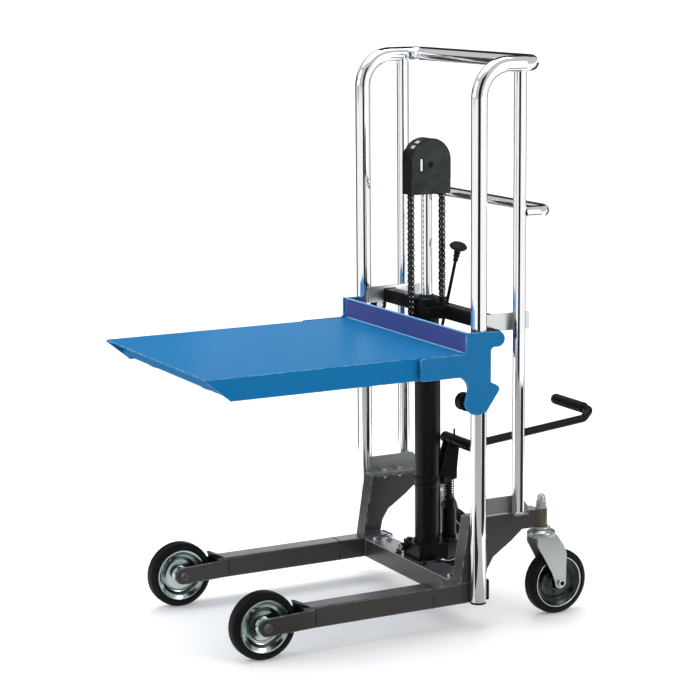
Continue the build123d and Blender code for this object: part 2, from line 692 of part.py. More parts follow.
with BuildPart() as front_tyre_left:
    mirror(front_tyre_right.part, about=Plane.YZ)

# Castor fork, axle, rim and tyre, modelled once about its stem
with BuildPart() as castor_fork:
    with BuildSketch(Plane.XZ):
        with BuildLine():
            Polyline(
                (STEM_R + RUN_FIT, CASTOR_HEAD_LOW),
                (CASTOR_HUB_HALF, CASTOR_HEAD_LOW),
                (CASTOR_HUB_HALF + 12, CASTOR_HEAD_LOW + 5),
                (CASTOR_HUB_HALF + 13, CASTOR_HEAD_LOW + 11),
                (CASTOR_HUB_HALF + 11, CASTOR_HEAD_TOP - 5.5),
                (CASTOR_HUB_HALF + 2, CASTOR_HEAD_TOP),
                (STEM_R + RUN_FIT, CASTOR_HEAD_TOP),
                close=True,
            )
        make_face()
    revolve(axis=Axis.Z)
    with BuildSketch(Plane.YZ.offset(CASTOR_HUB_HALF)):
        with BuildLine():
            Polyline(
                (-24, CASTOR_HEAD_LOW + 12),
                (26, CASTOR_HEAD_LOW + 12),
                (CASTOR_TRAIL + 9, CASTOR_HEAD_LOW - 22),
                (CASTOR_TRAIL + 17, CASTOR_HEAD_LOW - 44),
                (CASTOR_TRAIL + CHEEK_FOOT_R, AXLE_Z),
            )
            ThreePointArc(
                (CASTOR_TRAIL + CHEEK_FOOT_R, AXLE_Z),
                (CASTOR_TRAIL, AXLE_Z - CHEEK_FOOT_R),
                (CASTOR_TRAIL - CHEEK_FOOT_R, AXLE_Z),
            )
            Polyline(
                (CASTOR_TRAIL - CHEEK_FOOT_R, AXLE_Z),
                (CASTOR_TRAIL - 23, AXLE_Z + 24),
                (-26, CASTOR_HEAD_LOW - 12),
                (-24, CASTOR_HEAD_LOW + 12),
            )
        make_face()
        with Locations((CASTOR_TRAIL, AXLE_Z)):
            Circle(AXLE_R + RUN_FIT, mode=Mode.SUBTRACT)
    extrude(amount=CASTOR_CHEEK_T)
    mirror(about=Plane.YZ)
    with BuildSketch(Plane.XY.offset(CASTOR_HEAD_LOW)):
        Circle(STEM_R + RUN_FIT)
        Circle(13.5)
    extrude(amount=3, mode=Mode.SUBTRACT)
    with BuildSketch(Plane.XY.offset(CASTOR_HEAD_LOW - 14)):
        Circle(STEM_R + RUN_FIT)
    extrude(amount=50, mode=Mode.SUBTRACT)
with BuildPart() as castor_axle:
    with BuildSketch(Plane.XY.offset(AXLE_Z)):
        with BuildLine():
            Polyline(
                (-CASTOR_HUB_HALF - CASTOR_CHEEK_T - 8, CASTOR_TRAIL),
                (-CASTOR_HUB_HALF - CASTOR_CHEEK_T - 8, CASTOR_TRAIL + 9),
                (-CASTOR_HUB_HALF - CASTOR_CHEEK_T, CASTOR_TRAIL + 10),
                (-CASTOR_HUB_HALF - CASTOR_CHEEK_T, CASTOR_TRAIL + AXLE_R),
                (CASTOR_HUB_HALF + CASTOR_CHEEK_T, CASTOR_TRAIL + AXLE_R),
                (CASTOR_HUB_HALF + CASTOR_CHEEK_T, CASTOR_TRAIL + 10),
                (CASTOR_HUB_HALF + CASTOR_CHEEK_T + 7, CASTOR_TRAIL + 9),
                (CASTOR_HUB_HALF + CASTOR_CHEEK_T + 7, CASTOR_TRAIL),
                close=True,
            )
        make_face()
    revolve(axis=Axis((0, CASTOR_TRAIL, AXLE_Z), (1, 0, 0)))
with BuildPart() as castor_rim:
    with BuildSketch(Plane.XY.offset(AXLE_Z)):
        with BuildLine():
            Polyline(
                (-CASTOR_HUB_HALF + 0.5, CASTOR_TRAIL + AXLE_R + RUN_FIT),
                (-CASTOR_HUB_HALF + 0.5, CASTOR_TRAIL + HUB_R),
                (-8, CASTOR_TRAIL + HUB_FOOT_R),
                (-4, CASTOR_TRAIL + DISH_FLAT_R),
                (-5, CASTOR_TRAIL + DISH_WALL_R),
                (-12, CASTOR_TRAIL + DISH_EDGE_R),
                (-RIM_HALF + 1, CASTOR_TRAIL + LIP_R),
                (-SEAT_HALF + 1, CASTOR_TRAIL + LIP_R),
                (-SEAT_HALF + 1, CASTOR_TRAIL + SEAT_R),
                (SEAT_HALF - 1, CASTOR_TRAIL + SEAT_R),
                (SEAT_HALF - 1, CASTOR_TRAIL + LIP_R),
                (RIM_HALF - 1, CASTOR_TRAIL + LIP_R),
                (12, CASTOR_TRAIL + DISH_EDGE_R),
                (5, CASTOR_TRAIL + DISH_WALL_R),
                (4, CASTOR_TRAIL + DISH_FLAT_R),
                (8, CASTOR_TRAIL + HUB_FOOT_R),
                (CASTOR_HUB_HALF - 0.5, CASTOR_TRAIL + HUB_R),
                (CASTOR_HUB_HALF - 0.5, CASTOR_TRAIL + AXLE_R + RUN_FIT),
                close=True,
            )
        make_face()
    revolve(axis=Axis((0, CASTOR_TRAIL, AXLE_Z), (1, 0, 0)))
with BuildPart() as castor_tyre:
    with BuildSketch(Plane.XY.offset(AXLE_Z)):
        with BuildLine():
            Polyline(
                (-SEAT_HALF + 1, CASTOR_TRAIL + SEAT_R),
                (-SEAT_HALF + 1, CASTOR_TRAIL + LIP_R),
                (-TYRE_HALF + 1, CASTOR_TRAIL + BULGE_LOW_R),
                (-TYRE_HALF + 1, CASTOR_TRAIL + BULGE_HIGH_R),
                (-TREAD_HALF + 1, CASTOR_TRAIL + WHEEL_R),
                (TREAD_HALF - 1, CASTOR_TRAIL + WHEEL_R),
                (TYRE_HALF - 1, CASTOR_TRAIL + BULGE_HIGH_R),
                (TYRE_HALF - 1, CASTOR_TRAIL + BULGE_LOW_R),
                (SEAT_HALF - 1, CASTOR_TRAIL + LIP_R),
                (SEAT_HALF - 1, CASTOR_TRAIL + SEAT_R),
                close=True,
            )
        make_face()
    revolve(axis=Axis((0, CASTOR_TRAIL, AXLE_Z), (1, 0, 0)))
RIGHT_STEM = Location((CASTOR_X, CASTOR_Y, 0))
LEFT_STEM = Location((-CASTOR_X, CASTOR_Y, 0), (0, 0, LEFT_CASTOR_TURN))
with BuildPart() as castor_fork_right:
    add(castor_fork.part.moved(RIGHT_STEM))
with BuildPart() as castor_axle_right:
    add(castor_axle.part.moved(RIGHT_STEM))
with BuildPart() as castor_rim_right:
    add(castor_rim.part.moved(RIGHT_STEM))
with BuildPart() as castor_tyre_right:
    add(castor_tyre.part.moved(RIGHT_STEM))
with BuildPart() as castor_fork_left:
    add(castor_fork.part.moved(LEFT_STEM))
with BuildPart() as castor_axle_left:
    add(castor_axle.part.moved(LEFT_STEM))
with BuildPart() as castor_rim_left:
    add(castor_rim.part.moved(LEFT_STEM))
with BuildPart() as castor_tyre_left:
    add(castor_tyre.part.moved(LEFT_STEM))

# Plastic plugs: both ends of each leg, with a tyre scraper in front, and the mast's feet
with BuildPart() as tube_plugs:
    with BuildSketch(Plane.XZ.offset(-LEG_FRONT_Y)):
        with Locations((LEG_X, LEG_Z)):
            Rectangle(LEG - 2, LEG - 2)
    extrude(amount=6)
    with BuildSketch(Plane.XZ.offset(-LEG_FRONT_Y)):
        with Locations((LEG_X, LEG_Z)):
            RectangleRounded(LEG - 2 * LEG_WALL, LEG - 2 * LEG_WALL, 1.5)
    extrude(amount=-16)
    with BuildSketch(Plane.YZ.offset(LEG_X - 20)):
        with BuildLine():
            Polyline(
                (LEG_FRONT_Y, LEG_TOP - 6),
                (LEG_FRONT_Y, LEG_TOP),
                (LEG_FRONT_Y + 20, LEG_TOP),
                (LEG_FRONT_Y - 4, LEG_TOP + 11),
                (LEG_FRONT_Y - 12, LEG_TOP + 12),
                (LEG_FRONT_Y - 6, LEG_TOP - 6),
                close=True,
            )
        make_face()
    extrude(amount=40)
    with BuildSketch(Plane.XZ.offset(-LEG_REAR_Y)):
        with Locations((LEG_X, LEG_Z)):
            RectangleRounded(LEG, LEG, 4)
    extrude(amount=-REAR_CAP)
    with BuildSketch(Plane.XZ.offset(-LEG_REAR_Y)):
        with Locations((LEG_X, LEG_Z)):
            RectangleRounded(LEG - 2 * LEG_WALL, LEG - 2 * LEG_WALL, 1.5)
    extrude(amount=15)
    with BuildSketch(Plane.XY.offset(MAST_FOOT_Z - 5)):
        with Locations((TUBE_X, MAST_Y)):
            Circle(TUBE_R)
    extrude(amount=5)
    with BuildSketch(Plane.XY.offset(MAST_FOOT_Z)):
        with Locations((TUBE_X, MAST_Y)):
            Circle(TUBE_R - TUBE_WALL)
    extrude(amount=15)
    mirror(about=Plane.YZ)

# Bolts that hold the pump block and the side members
with BuildPart() as base_bolts:
    with BuildSketch(Plane.XY.offset(CROSS_TOP)):
        with Locations(
            (-62, MAST_Y - 24),
            (62, MAST_Y - 24),
            (-62, MAST_Y + 20),
            (62, MAST_Y + 20),
            (-190, MAST_Y - 22),
            (190, MAST_Y - 22),
            (-190, MAST_Y + 18),
            (190, MAST_Y + 18),
        ):
            RegularPolygon(9.5, 6)
    extrude(amount=9)

# Ram: rod with its piston, and the fork that carries the chain pulley
with BuildPart() as piston_rod:
    with BuildSketch(Plane.XY.offset(RAM_LOW)):
        with Locations((0, RAM_Y)):
            Circle(RAM_R)
    extrude(amount=RAM_TOP - RAM_LOW)
    with BuildSketch(Plane.XY.offset(RAM_LOW)):
        with Locations((0, RAM_Y)):
            Circle(PISTON_R)
    extrude(amount=36)
with BuildPart() as pulley_fork:
    with BuildSketch(Plane.XY.offset(RAM_TOP)):
        with Locations((0, RAM_Y)):
            Rectangle(38, 46)
    extrude(amount=16)
    with BuildSketch(Plane.YZ.offset(13.5)):
        with BuildLine():
            Polyline(
                (RAM_Y - 22, RAM_TOP),
                (RAM_Y + 22, RAM_TOP),
                (RAM_Y + 14, PULLEY_Z),
            )
            ThreePointArc(
                (RAM_Y + 14, PULLEY_Z),
                (RAM_Y, PULLEY_Z + 14),
                (RAM_Y - 14, PULLEY_Z),
            )
            Line((RAM_Y - 14, PULLEY_Z), (RAM_Y - 22, RAM_TOP))
        make_face()
    extrude(amount=5.5)
    mirror(about=Plane.YZ)
    with BuildSketch(Plane.YZ.offset(-COVER_HALF_W + COVER_T)):
        with Locations((RAM_Y, PULLEY_Z)):
            Circle(7)
    extrude(amount=2 * (COVER_HALF_W - COVER_T))
with BuildPart() as chain_pulley:
    with BuildSketch(Plane.XZ.offset(-RAM_Y)):
        with BuildLine():
            Polyline(
                (-12.5, PULLEY_Z + 7 + RUN_FIT),
                (-12.5, PULLEY_Z + PULLEY_FLANGE_R),
                (-10.2, PULLEY_Z + PULLEY_FLANGE_R),
                (-10.2, PULLEY_Z + CHAIN_PITCH_R - CHAIN_HALF_H - ROLL_GAP),
                (10.2, PULLEY_Z + CHAIN_PITCH_R - CHAIN_HALF_H - ROLL_GAP),
                (10.2, PULLEY_Z + PULLEY_FLANGE_R),
                (12.5, PULLEY_Z + PULLEY_FLANGE_R),
                (12.5, PULLEY_Z + 7 + RUN_FIT),
                close=True,
            )
        make_face()
    revolve(axis=Axis((0, RAM_Y, PULLEY_Z), (1, 0, 0)))

# Pulley cover: a D-shaped pressed case, open below, with a slot and a pin boss
with BuildPart() as pulley_cover:
    with BuildSketch(Plane.YZ.offset(-COVER_HALF_W)):
        with BuildLine():
            Line((RAM_Y - COVER_R, COVER_LOW), (RAM_Y + COVER_R, COVER_LOW))
            Line((RAM_Y + COVER_R, COVER_LOW), (RAM_Y + COVER_R, COVER_ARC_Z))
            ThreePointArc(
                (RAM_Y + COVER_R, COVER_ARC_Z),
                (RAM_Y, COVER_ARC_Z + COVER_R),
                (RAM_Y - COVER_R, COVER_ARC_Z),
            )
            Line((RAM_Y - COVER_R, COVER_ARC_Z), (RAM_Y - COVER_R, COVER_LOW))
        make_face()
    extrude(amount=2 * COVER_HALF_W)
    with BuildSketch(Plane.YZ.offset(-COVER_HALF_W + COVER_T)):
        with BuildLine():
            Line((RAM_Y - COVER_R + COVER_T, COVER_LOW), (RAM_Y + COVER_R - COVER_T, COVER_LOW))
            Line(
                (RAM_Y + COVER_R - COVER_T, COVER_LOW),
                (RAM_Y + COVER_R - COVER_T, COVER_ARC_Z),
            )
            ThreePointArc(
                (RAM_Y + COVER_R - COVER_T, COVER_ARC_Z),
                (RAM_Y, COVER_ARC_Z + COVER_R - COVER_T),
                (RAM_Y - COVER_R + COVER_T, COVER_ARC_Z),
            )
            Line(
                (RAM_Y - COVER_R + COVER_T, COVER_ARC_Z),
                (RAM_Y - COVER_R + COVER_T, COVER_LOW),
            )
        make_face()
    extrude(amount=2 * (COVER_HALF_W - COVER_T), mode=Mode.SUBTRACT)
    with BuildSketch(Plane.YZ.offset(COVER_HALF_W - COVER_T)):
        with Locations((RAM_Y - 26, PULLEY_Z)):
            SlotOverall(36, 9, rotation=90)
    extrude(amount=COVER_T, mode=Mode.SUBTRACT)
    with BuildSketch(Plane.YZ.offset(COVER_HALF_W)):
        with Locations((RAM_Y, PULLEY_Z)):
            Circle(6)
    extrude(amount=3)

# Chain: the bend over the pulley, and the two straight runs
with BuildPart() as chain_bend:
    with BuildSketch(Plane.YZ.offset(-CHAIN_HALF_W)):
        with BuildLine():
            ThreePointArc(
                (RAM_Y - CHAIN_PITCH_R - CHAIN_HALF_H, PULLEY_Z),
                (RAM_Y, PULLEY_Z + CHAIN_PITCH_R + CHAIN_HALF_H),
                (RAM_Y + CHAIN_PITCH_R + CHAIN_HALF_H, PULLEY_Z),
            )
            Line(
                (RAM_Y + CHAIN_PITCH_R + CHAIN_HALF_H, PULLEY_Z),
                (RAM_Y + CHAIN_PITCH_R - CHAIN_HALF_H, PULLEY_Z),
            )
            ThreePointArc(
                (RAM_Y + CHAIN_PITCH_R - CHAIN_HALF_H, PULLEY_Z),
                (RAM_Y, PULLEY_Z + CHAIN_PITCH_R - CHAIN_HALF_H),
                (RAM_Y - CHAIN_PITCH_R + CHAIN_HALF_H, PULLEY_Z),
            )
            Line(
                (RAM_Y - CHAIN_PITCH_R + CHAIN_HALF_H, PULLEY_Z),
                (RAM_Y - CHAIN_PITCH_R - CHAIN_HALF_H, PULLEY_Z),
            )
        make_face()
    extrude(amount=2 * CHAIN_HALF_W)
with BuildPart() as chain_front_run:
    with BuildSketch(Plane.XY.offset(CHAIN_LOW_FRONT)):
        with Locations((0, RAM_Y - CHAIN_PITCH_R)):
            Rectangle(2 * CHAIN_HALF_W, 2 * CHAIN_HALF_H)
    extrude(amount=PULLEY_Z - CHAIN_LOW_FRONT)
with BuildPart() as chain_rear_run:
    with BuildSketch(Plane.XY.offset(CHAIN_LOW_REAR)):
        with Locations((0, RAM_Y + CHAIN_PITCH_R)):
            Rectangle(2 * CHAIN_HALF_W, 2 * CHAIN_HALF_H)
    extrude(amount=PULLEY_Z - CHAIN_LOW_REAR)

# Platform: deck plate with side skirts cut back in front, and a shallow front skirt
with BuildPart() as platform_deck:
    with BuildSketch(Plane.XY.offset(DECK_TOP - DECK_T)):
        with Locations((0, (DECK_FRONT_Y + FLANGE_FRONT_Y) / 2)):
            Rectangle(2 * DECK_HALF, FLANGE_FRONT_Y - DECK_FRONT_Y)
    extrude(amount=DECK_T)
    with BuildSketch(Plane.YZ.offset(DECK_HALF - SKIRT_T)):
        with BuildLine():
            Polyline(
                (DECK_FRONT_Y, DECK_TOP),
                (FLANGE_FRONT_Y, DECK_TOP),
                (FLANGE_FRONT_Y, SKIRT_LOW),
                (DECK_FRONT_Y + SKIRT_CUT, SKIRT_LOW),
                (DECK_FRONT_Y, DECK_TOP - 5),
                close=True,
            )
        make_face()
    extrude(amount=SKIRT_T)
    mirror(about=Plane.YZ)
    with BuildSketch(Plane.XZ.offset(-DECK_FRONT_Y - FRONT_SKIRT_BACK - SKIRT_T)):
        with Locations((0, DECK_TOP - DECK_T - FRONT_SKIRT_H / 2)):
            Rectangle(2 * DECK_HALF - 2 * SKIRT_T, FRONT_SKIRT_H)
    extrude(amount=SKIRT_T)

# Back flange: the upright plate behind the deck
with BuildPart() as back_flange:
    with BuildSketch(Plane.YZ.offset(-DECK_HALF - 2)):
        with BuildLine():
            Polyline(
                (FLANGE_FRONT_Y, SKIRT_LOW),
                (FLANGE_FRONT_Y, FLANGE_TOP - 2),
                (FLANGE_FRONT_Y + 2, FLANGE_TOP),
                (FLANGE_FRONT_Y + FLANGE_T, FLANGE_TOP),
                (FLANGE_FRONT_Y + FLANGE_T, SKIRT_LOW),
                close=True,
            )
        make_face()
    extrude(amount=2 * DECK_HALF + 4)

# Under-beams: two box sections and a cross-rail that stiffen the deck
with BuildPart() as platform_beams:
    with BuildSketch(Plane.XZ.offset(-FLANGE_FRONT_Y)):
        with Locations((BEAM_X, DECK_TOP - DECK_T - BEAM_H / 2)):
            Rectangle(BEAM_W, BEAM_H)
            Rectangle(BEAM_W - 5, BEAM_H - 5, mode=Mode.SUBTRACT)
    extrude(amount=FLANGE_FRONT_Y - BEAM_FRONT_END_Y)
    mirror(about=Plane.YZ)
    with BuildSketch(Plane.YZ.offset(-BEAM_X + BEAM_W / 2)):
        with Locations((MAST_Y - 400, DECK_TOP - DECK_T - 15)):
            Rectangle(30, 30)
            Rectangle(25, 25, mode=Mode.SUBTRACT)
    extrude(amount=2 * BEAM_X - BEAM_W)

# Black end plugs of the under-beams
with BuildPart() as beam_plugs:
    with BuildSketch(Plane.XZ.offset(-BEAM_FRONT_END_Y)):
        with Locations((BEAM_X, DECK_TOP - DECK_T - BEAM_H / 2)):
            Rectangle(BEAM_W, BEAM_H)
    extrude(amount=6)
    with BuildSketch(Plane.XZ.offset(-BEAM_FRONT_END_Y)):
        with Locations((BEAM_X, DECK_TOP - DECK_T - BEAM_H / 2)):
            Rectangle(BEAM_W - 5, BEAM_H - 5)
    extrude(amount=-12)
    mirror(about=Plane.YZ)

# Carriage side plate: profile-cut plate around the tube, with a bar to the deck's skirt
with BuildPart() as side_plate_right:
    with BuildSketch(Plane.YZ.offset(SIDE_IN)):
        with BuildLine():
            Polyline(
                (SIDE_ARM_FRONT_Y + 5, SKIRT_LOW),
                (SIDE_ARM_FRONT_Y, SKIRT_LOW + 5),
                (SIDE_ARM_FRONT_Y, DECK_TOP - 3),
                (SIDE_ARM_FRONT_Y + 8, DECK_TOP),
                (MAST_Y - 54, DECK_TOP),
                (MAST_Y - 48, DECK_TOP + 6),
                (MAST_Y - 48, FLANGE_TOP),
                (MAST_Y + ROLLER_Y, ROLLER_HIGH_Z + 18),
            )
            ThreePointArc(
                (MAST_Y + ROLLER_Y, ROLLER_HIGH_Z + 18),
                (MAST_Y + ROLLER_Y + 18, ROLLER_HIGH_Z),
                (MAST_Y + ROLLER_Y, ROLLER_HIGH_Z - 18),
            )
            Line((MAST_Y + ROLLER_Y, ROLLER_HIGH_Z - 18), (MAST_Y + 28, ROLLER_HIGH_Z - 18))
            ThreePointArc(
                (MAST_Y + 28, ROLLER_HIGH_Z - 18),
                (MAST_Y + 21, ROLLER_HIGH_Z - 21),
                (MAST_Y + 18, ROLLER_HIGH_Z - 28),
            )
            Polyline(
                (MAST_Y + 18, ROLLER_HIGH_Z - 28),
                (MAST_Y + 18, ROLLER_LOW_Z + 45),
                (MAST_Y + 34, ROLLER_LOW_Z + 37),
                (MAST_Y + 40, ROLLER_LOW_Z + 32),
                (MAST_Y + 41, ROLLER_LOW_Z + 24),
                (MAST_Y + 8, ROLLER_LOW_Z - 22),
                (MAST_Y, ROLLER_LOW_Z - 26),
            )
            ThreePointArc(
                (MAST_Y, ROLLER_LOW_Z - 26),
                (MAST_Y - 38, ROLLER_LOW_Z - 23),
                (MAST_Y - 52, ROLLER_LOW_Z + 1),
            )
            Line((MAST_Y - 52, ROLLER_LOW_Z + 1), (MAST_Y - 45, ROLLER_LOW_Z + 25))
            ThreePointArc(
                (MAST_Y - 45, ROLLER_LOW_Z + 25),
                (MAST_Y - 48, ROLLER_LOW_Z + 48),
                (MAST_Y - 66, SKIRT_LOW),
            )
            Line((MAST_Y - 66, SKIRT_LOW), (SIDE_ARM_FRONT_Y + 5, SKIRT_LOW))
        make_face()
    extrude(amount=SIDE_T)
    with BuildSketch(Plane.YZ.offset(DECK_HALF)):
        with Locations(((SIDE_ARM_FRONT_Y + 6 + FLANGE_FRONT_Y) / 2, (SKIRT_LOW + DECK_TOP) / 2)):
            Rectangle(FLANGE_FRONT_Y - SIDE_ARM_FRONT_Y - 6, DECK_TOP - SKIRT_LOW - 6)
    extrude(amount=SIDE_IN - DECK_HALF)
    with BuildSketch(Plane.YZ.offset(DECK_HALF + 2)):
        with Locations((FLANGE_FRONT_Y + FLANGE_T / 2, (SKIRT_LOW + FLANGE_TOP) / 2)):
            Rectangle(FLANGE_T, FLANGE_TOP - SKIRT_LOW)
    extrude(amount=SIDE_IN - DECK_HALF - 2)
with BuildPart() as side_plate_left:
    mirror(side_plate_right.part, about=Plane.YZ)

# Roller axles: stub pins on the side plates, with a shoulder and a retaining head
with BuildPart() as roller_axles:
    with BuildSketch(Plane.XY.offset(ROLLER_HIGH_Z)):
        with BuildLine():
            Polyline(
                (TUBE_X - ROLLER_HALF_W - 4, MAST_Y + ROLLER_Y),
                (TUBE_X - ROLLER_HALF_W - 4, MAST_Y + ROLLER_Y + 9),
                (TUBE_X - ROLLER_HALF_W - 1, MAST_Y + ROLLER_Y + 9),
                (TUBE_X - ROLLER_HALF_W - 1, MAST_Y + ROLLER_Y + ROLLER_AXLE_R),
                (TUBE_X + ROLLER_HALF_W + 1, MAST_Y + ROLLER_Y + ROLLER_AXLE_R),
                (TUBE_X + ROLLER_HALF_W + 1, MAST_Y + ROLLER_Y + 10),
                (SIDE_IN, MAST_Y + ROLLER_Y + 10),
                (SIDE_IN, MAST_Y + ROLLER_Y),
                close=True,
            )
        make_face()
    revolve(axis=Axis((0, MAST_Y + ROLLER_Y, ROLLER_HIGH_Z), (1, 0, 0)))
    with BuildSketch(Plane.XY.offset(ROLLER_LOW_Z)):
        with BuildLine():
            Polyline(
                (TUBE_X - ROLLER_HALF_W - 4, MAST_Y - ROLLER_Y),
                (TUBE_X - ROLLER_HALF_W - 4, MAST_Y - ROLLER_Y + 9),
                (TUBE_X - ROLLER_HALF_W - 1, MAST_Y - ROLLER_Y + 9),
                (TUBE_X - ROLLER_HALF_W - 1, MAST_Y - ROLLER_Y + ROLLER_AXLE_R),
                (TUBE_X + ROLLER_HALF_W + 1, MAST_Y - ROLLER_Y + ROLLER_AXLE_R),
                (TUBE_X + ROLLER_HALF_W + 1, MAST_Y - ROLLER_Y + 10),
                (SIDE_IN, MAST_Y - ROLLER_Y + 10),
                (SIDE_IN, MAST_Y - ROLLER_Y),
                close=True,
            )
        make_face()
    revolve(axis=Axis((0, MAST_Y - ROLLER_Y, ROLLER_LOW_Z), (1, 0, 0)))
    mirror(about=Plane.YZ)

# Grooved guide roller, modelled once; the groove follows the tube's round
with BuildPart() as roller:
    with BuildSketch(Plane.XY):
        with BuildLine():
            Polyline(
                (-ROLLER_HALF_W, ROLLER_AXLE_R + RUN_FIT),
                (-ROLLER_HALF_W, ROLLER_R - 1.5),
                (-ROLLER_HALF_W + 0.5, ROLLER_R),
            )
            ThreePointArc(
                (-ROLLER_HALF_W + 0.5, ROLLER_R),
                (0, ROLLER_GROOVE_R),
                (ROLLER_HALF_W - 0.5, ROLLER_R),
            )
            Polyline(
                (ROLLER_HALF_W - 0.5, ROLLER_R),
                (ROLLER_HALF_W, ROLLER_R - 1.5),
                (ROLLER_HALF_W, ROLLER_AXLE_R + RUN_FIT),
                (-ROLLER_HALF_W, ROLLER_AXLE_R + RUN_FIT),
            )
        make_face()
    revolve(axis=Axis.X)
with BuildPart() as roller_high_right:
    add(roller.part.moved(Location((TUBE_X, MAST_Y + ROLLER_Y, ROLLER_HIGH_Z))))
with BuildPart() as roller_high_left:
    add(roller.part.moved(Location((-TUBE_X, MAST_Y + ROLLER_Y, ROLLER_HIGH_Z))))
with BuildPart() as roller_low_right:
    add(roller.part.moved(Location((TUBE_X, MAST_Y - ROLLER_Y, ROLLER_LOW_Z))))
with BuildPart() as roller_low_left:
    add(roller.part.moved(Location((-TUBE_X, MAST_Y - ROLLER_Y, ROLLER_LOW_Z))))

# Chain lug: the bracket behind the back flange that the front chain run pulls on
with BuildPart() as chain_lug:
    with BuildSketch(Plane.YZ.offset(-CHAIN_HALF_W - 4)):
        with BuildLine():
            Polyline(
                (FLANGE_FRONT_Y + FLANGE_T, SKIRT_LOW),
                (FLANGE_FRONT_Y + FLANGE_T, CHAIN_LOW_FRONT),
                (RAM_Y - CHAIN_PITCH_R + CHAIN_HALF_H, CHAIN_LOW_FRONT),
                (RAM_Y - CHAIN_PITCH_R + CHAIN_HALF_H, CHAIN_LOW_FRONT - 14),
                close=True,
            )
        make_face()
    extrude(amount=2 * CHAIN_HALF_W + 8)

# Pedal lever: two crank plates, the cross tube and the bent pedal rod
pedal_path = bent_path(
    [
        (PEDAL_X, CROSS_TUBE_Y, CROSS_TUBE_Z + 4),
        (PEDAL_X, PEDAL_END_Y - 26, PEDAL_END_Z - 17),
        (PEDAL_X - 12, PEDAL_END_Y, PEDAL_END_Z),
        (-PEDAL_X, PEDAL_END_Y, PEDAL_END_Z),
    ],
    [16, 16],
)
with BuildPart() as pedal_lever:
    with BuildSketch(start_plane(pedal_path)):
        Circle(PEDAL_ROD_R)
    sweep(path=pedal_path)
    with BuildSketch(Plane.YZ.offset(PUMP_X - LEVER_GAP / 2 - LEVER_T)):
        with Locations((PIVOT_Y, PIVOT_Z), (CRANK_Y, CRANK_Z)):
            Circle(LEVER_EYE_R)
        with Locations((CROSS_TUBE_Y, CROSS_TUBE_Z)):
            Circle(CROSS_TUBE_R)
        make_hull()
        with Locations((PIVOT_Y, PIVOT_Z)):
            Circle(PIVOT_R + RUN_FIT, mode=Mode.SUBTRACT)
    extrude(amount=LEVER_GAP + 2 * LEVER_T)
    with BuildSketch(Plane.YZ.offset(PUMP_X - LEVER_GAP / 2)):
        with Locations((CRANK_Y, (CRANK_Z + CROSS_TUBE_Z) / 2)):
            Rectangle(90, CROSS_TUBE_Z - CRANK_Z + 60)
    extrude(amount=LEVER_GAP, mode=Mode.SUBTRACT)
    with BuildSketch(Plane.YZ.offset(PUMP_X - LEVER_GAP / 2)):
        with Locations((CRANK_Y, CRANK_Z)):
            Circle(CRANK_R)
    extrude(amount=LEVER_GAP)
    with BuildSketch(Plane.YZ.offset(-45)):
        with Locations((CROSS_TUBE_Y, CROSS_TUBE_Z)):
            Circle(CROSS_TUBE_R)
    extrude(amount=PEDAL_X + 45 + 9)
    with BuildSketch(Plane.XY.offset(CROSS_TUBE_Z)):
        with Locations((0, CROSS_TUBE_Y)):
            Circle(2.5)
    extrude(amount=CROSS_TUBE_R + 15)
with BuildPart() as pedal_grip:
    with BuildSketch(Plane.YZ.offset(-PEDAL_X - 5)):
        with Locations((PEDAL_END_Y, PEDAL_END_Z)):
            Circle(GRIP_R)
    extrude(amount=PEDAL_X + 5 + 52)
    with BuildSketch(Plane.YZ.offset(-PEDAL_X)):
        with Locations((PEDAL_END_Y, PEDAL_END_Z)):
            Circle(PEDAL_ROD_R)
    extrude(amount=PEDAL_X + 60, mode=Mode.SUBTRACT)

# Pump plunger with its slotted yoke, and the return spring around it
with BuildPart() as pump_plunger:
    with BuildSketch(Plane.XY.offset(BLOCK_TOP + 14)):
        with Locations((PUMP_X, PUMP_Y)):
            Circle(PLUNGER_R)
    extrude(amount=YOKE_LOW - BLOCK_TOP - 14)
    with BuildSketch(Plane.YZ.offset(PUMP_X - YOKE_HALF_W)):
        with Locations((CRANK_Y, (YOKE_LOW + YOKE_TOP) / 2)):
            RectangleRounded(32, YOKE_TOP - YOKE_LOW, 4)
        with Locations((CRANK_Y, CRANK_Z)):
            SlotCenterToCenter(5, 2 * (CRANK_R + SLOT_PLAY), mode=Mode.SUBTRACT)
    extrude(amount=2 * YOKE_HALF_W)
with BuildPart() as return_spring:
    with BuildSketch(Plane.XY.offset(PUMP_TOP)):
        with Locations((PUMP_X, PUMP_Y)):
            Circle(15)
            Circle(10.5, mode=Mode.SUBTRACT)
    extrude(amount=YOKE_LOW - PUMP_TOP)

# Release rod: leaning above, upright below, with a pin that works the valve arm
release_path = bent_path(
    [
        (ROD_X, ROD_Y, ROD_LOW_Z),
        (ROD_X, ROD_Y, ROD_BEND_Z),
        ROD_TOP,
    ],
    [60],
)
with BuildPart() as release_rod:
    with BuildSketch(start_plane(release_path)):
        Circle(ROD_R)
    sweep(path=release_path)
    with BuildSketch(Plane.YZ.offset(ROD_X - 16)):
        with Locations((ROD_Y, VALVE_Z)):
            Circle(VALVE_PIN_R)
    extrude(amount=16)
with BuildPart() as release_knob:
    with BuildSketch(Plane.XZ):
        with BuildLine():
            Polyline(
                (0, 0),
                (0, 22),
                (10, 21),
                (19, 17),
                (22, 13),
                (20, 10),
                (9, 8),
                (7, 2),
                (8.5, -4),
                (6.5, -8),
                (8, -13),
                (6, -18),
                (6.5, -26),
                (ROD_R, -28),
                (ROD_R, 0),
                close=True,
            )
        make_face()
    revolve(axis=Axis.Z)
knob_plane = Plane(origin=release_path @ 1, z_dir=release_path % 1)
with BuildPart() as release_handle:
    add(release_knob.part.moved(knob_plane.location))
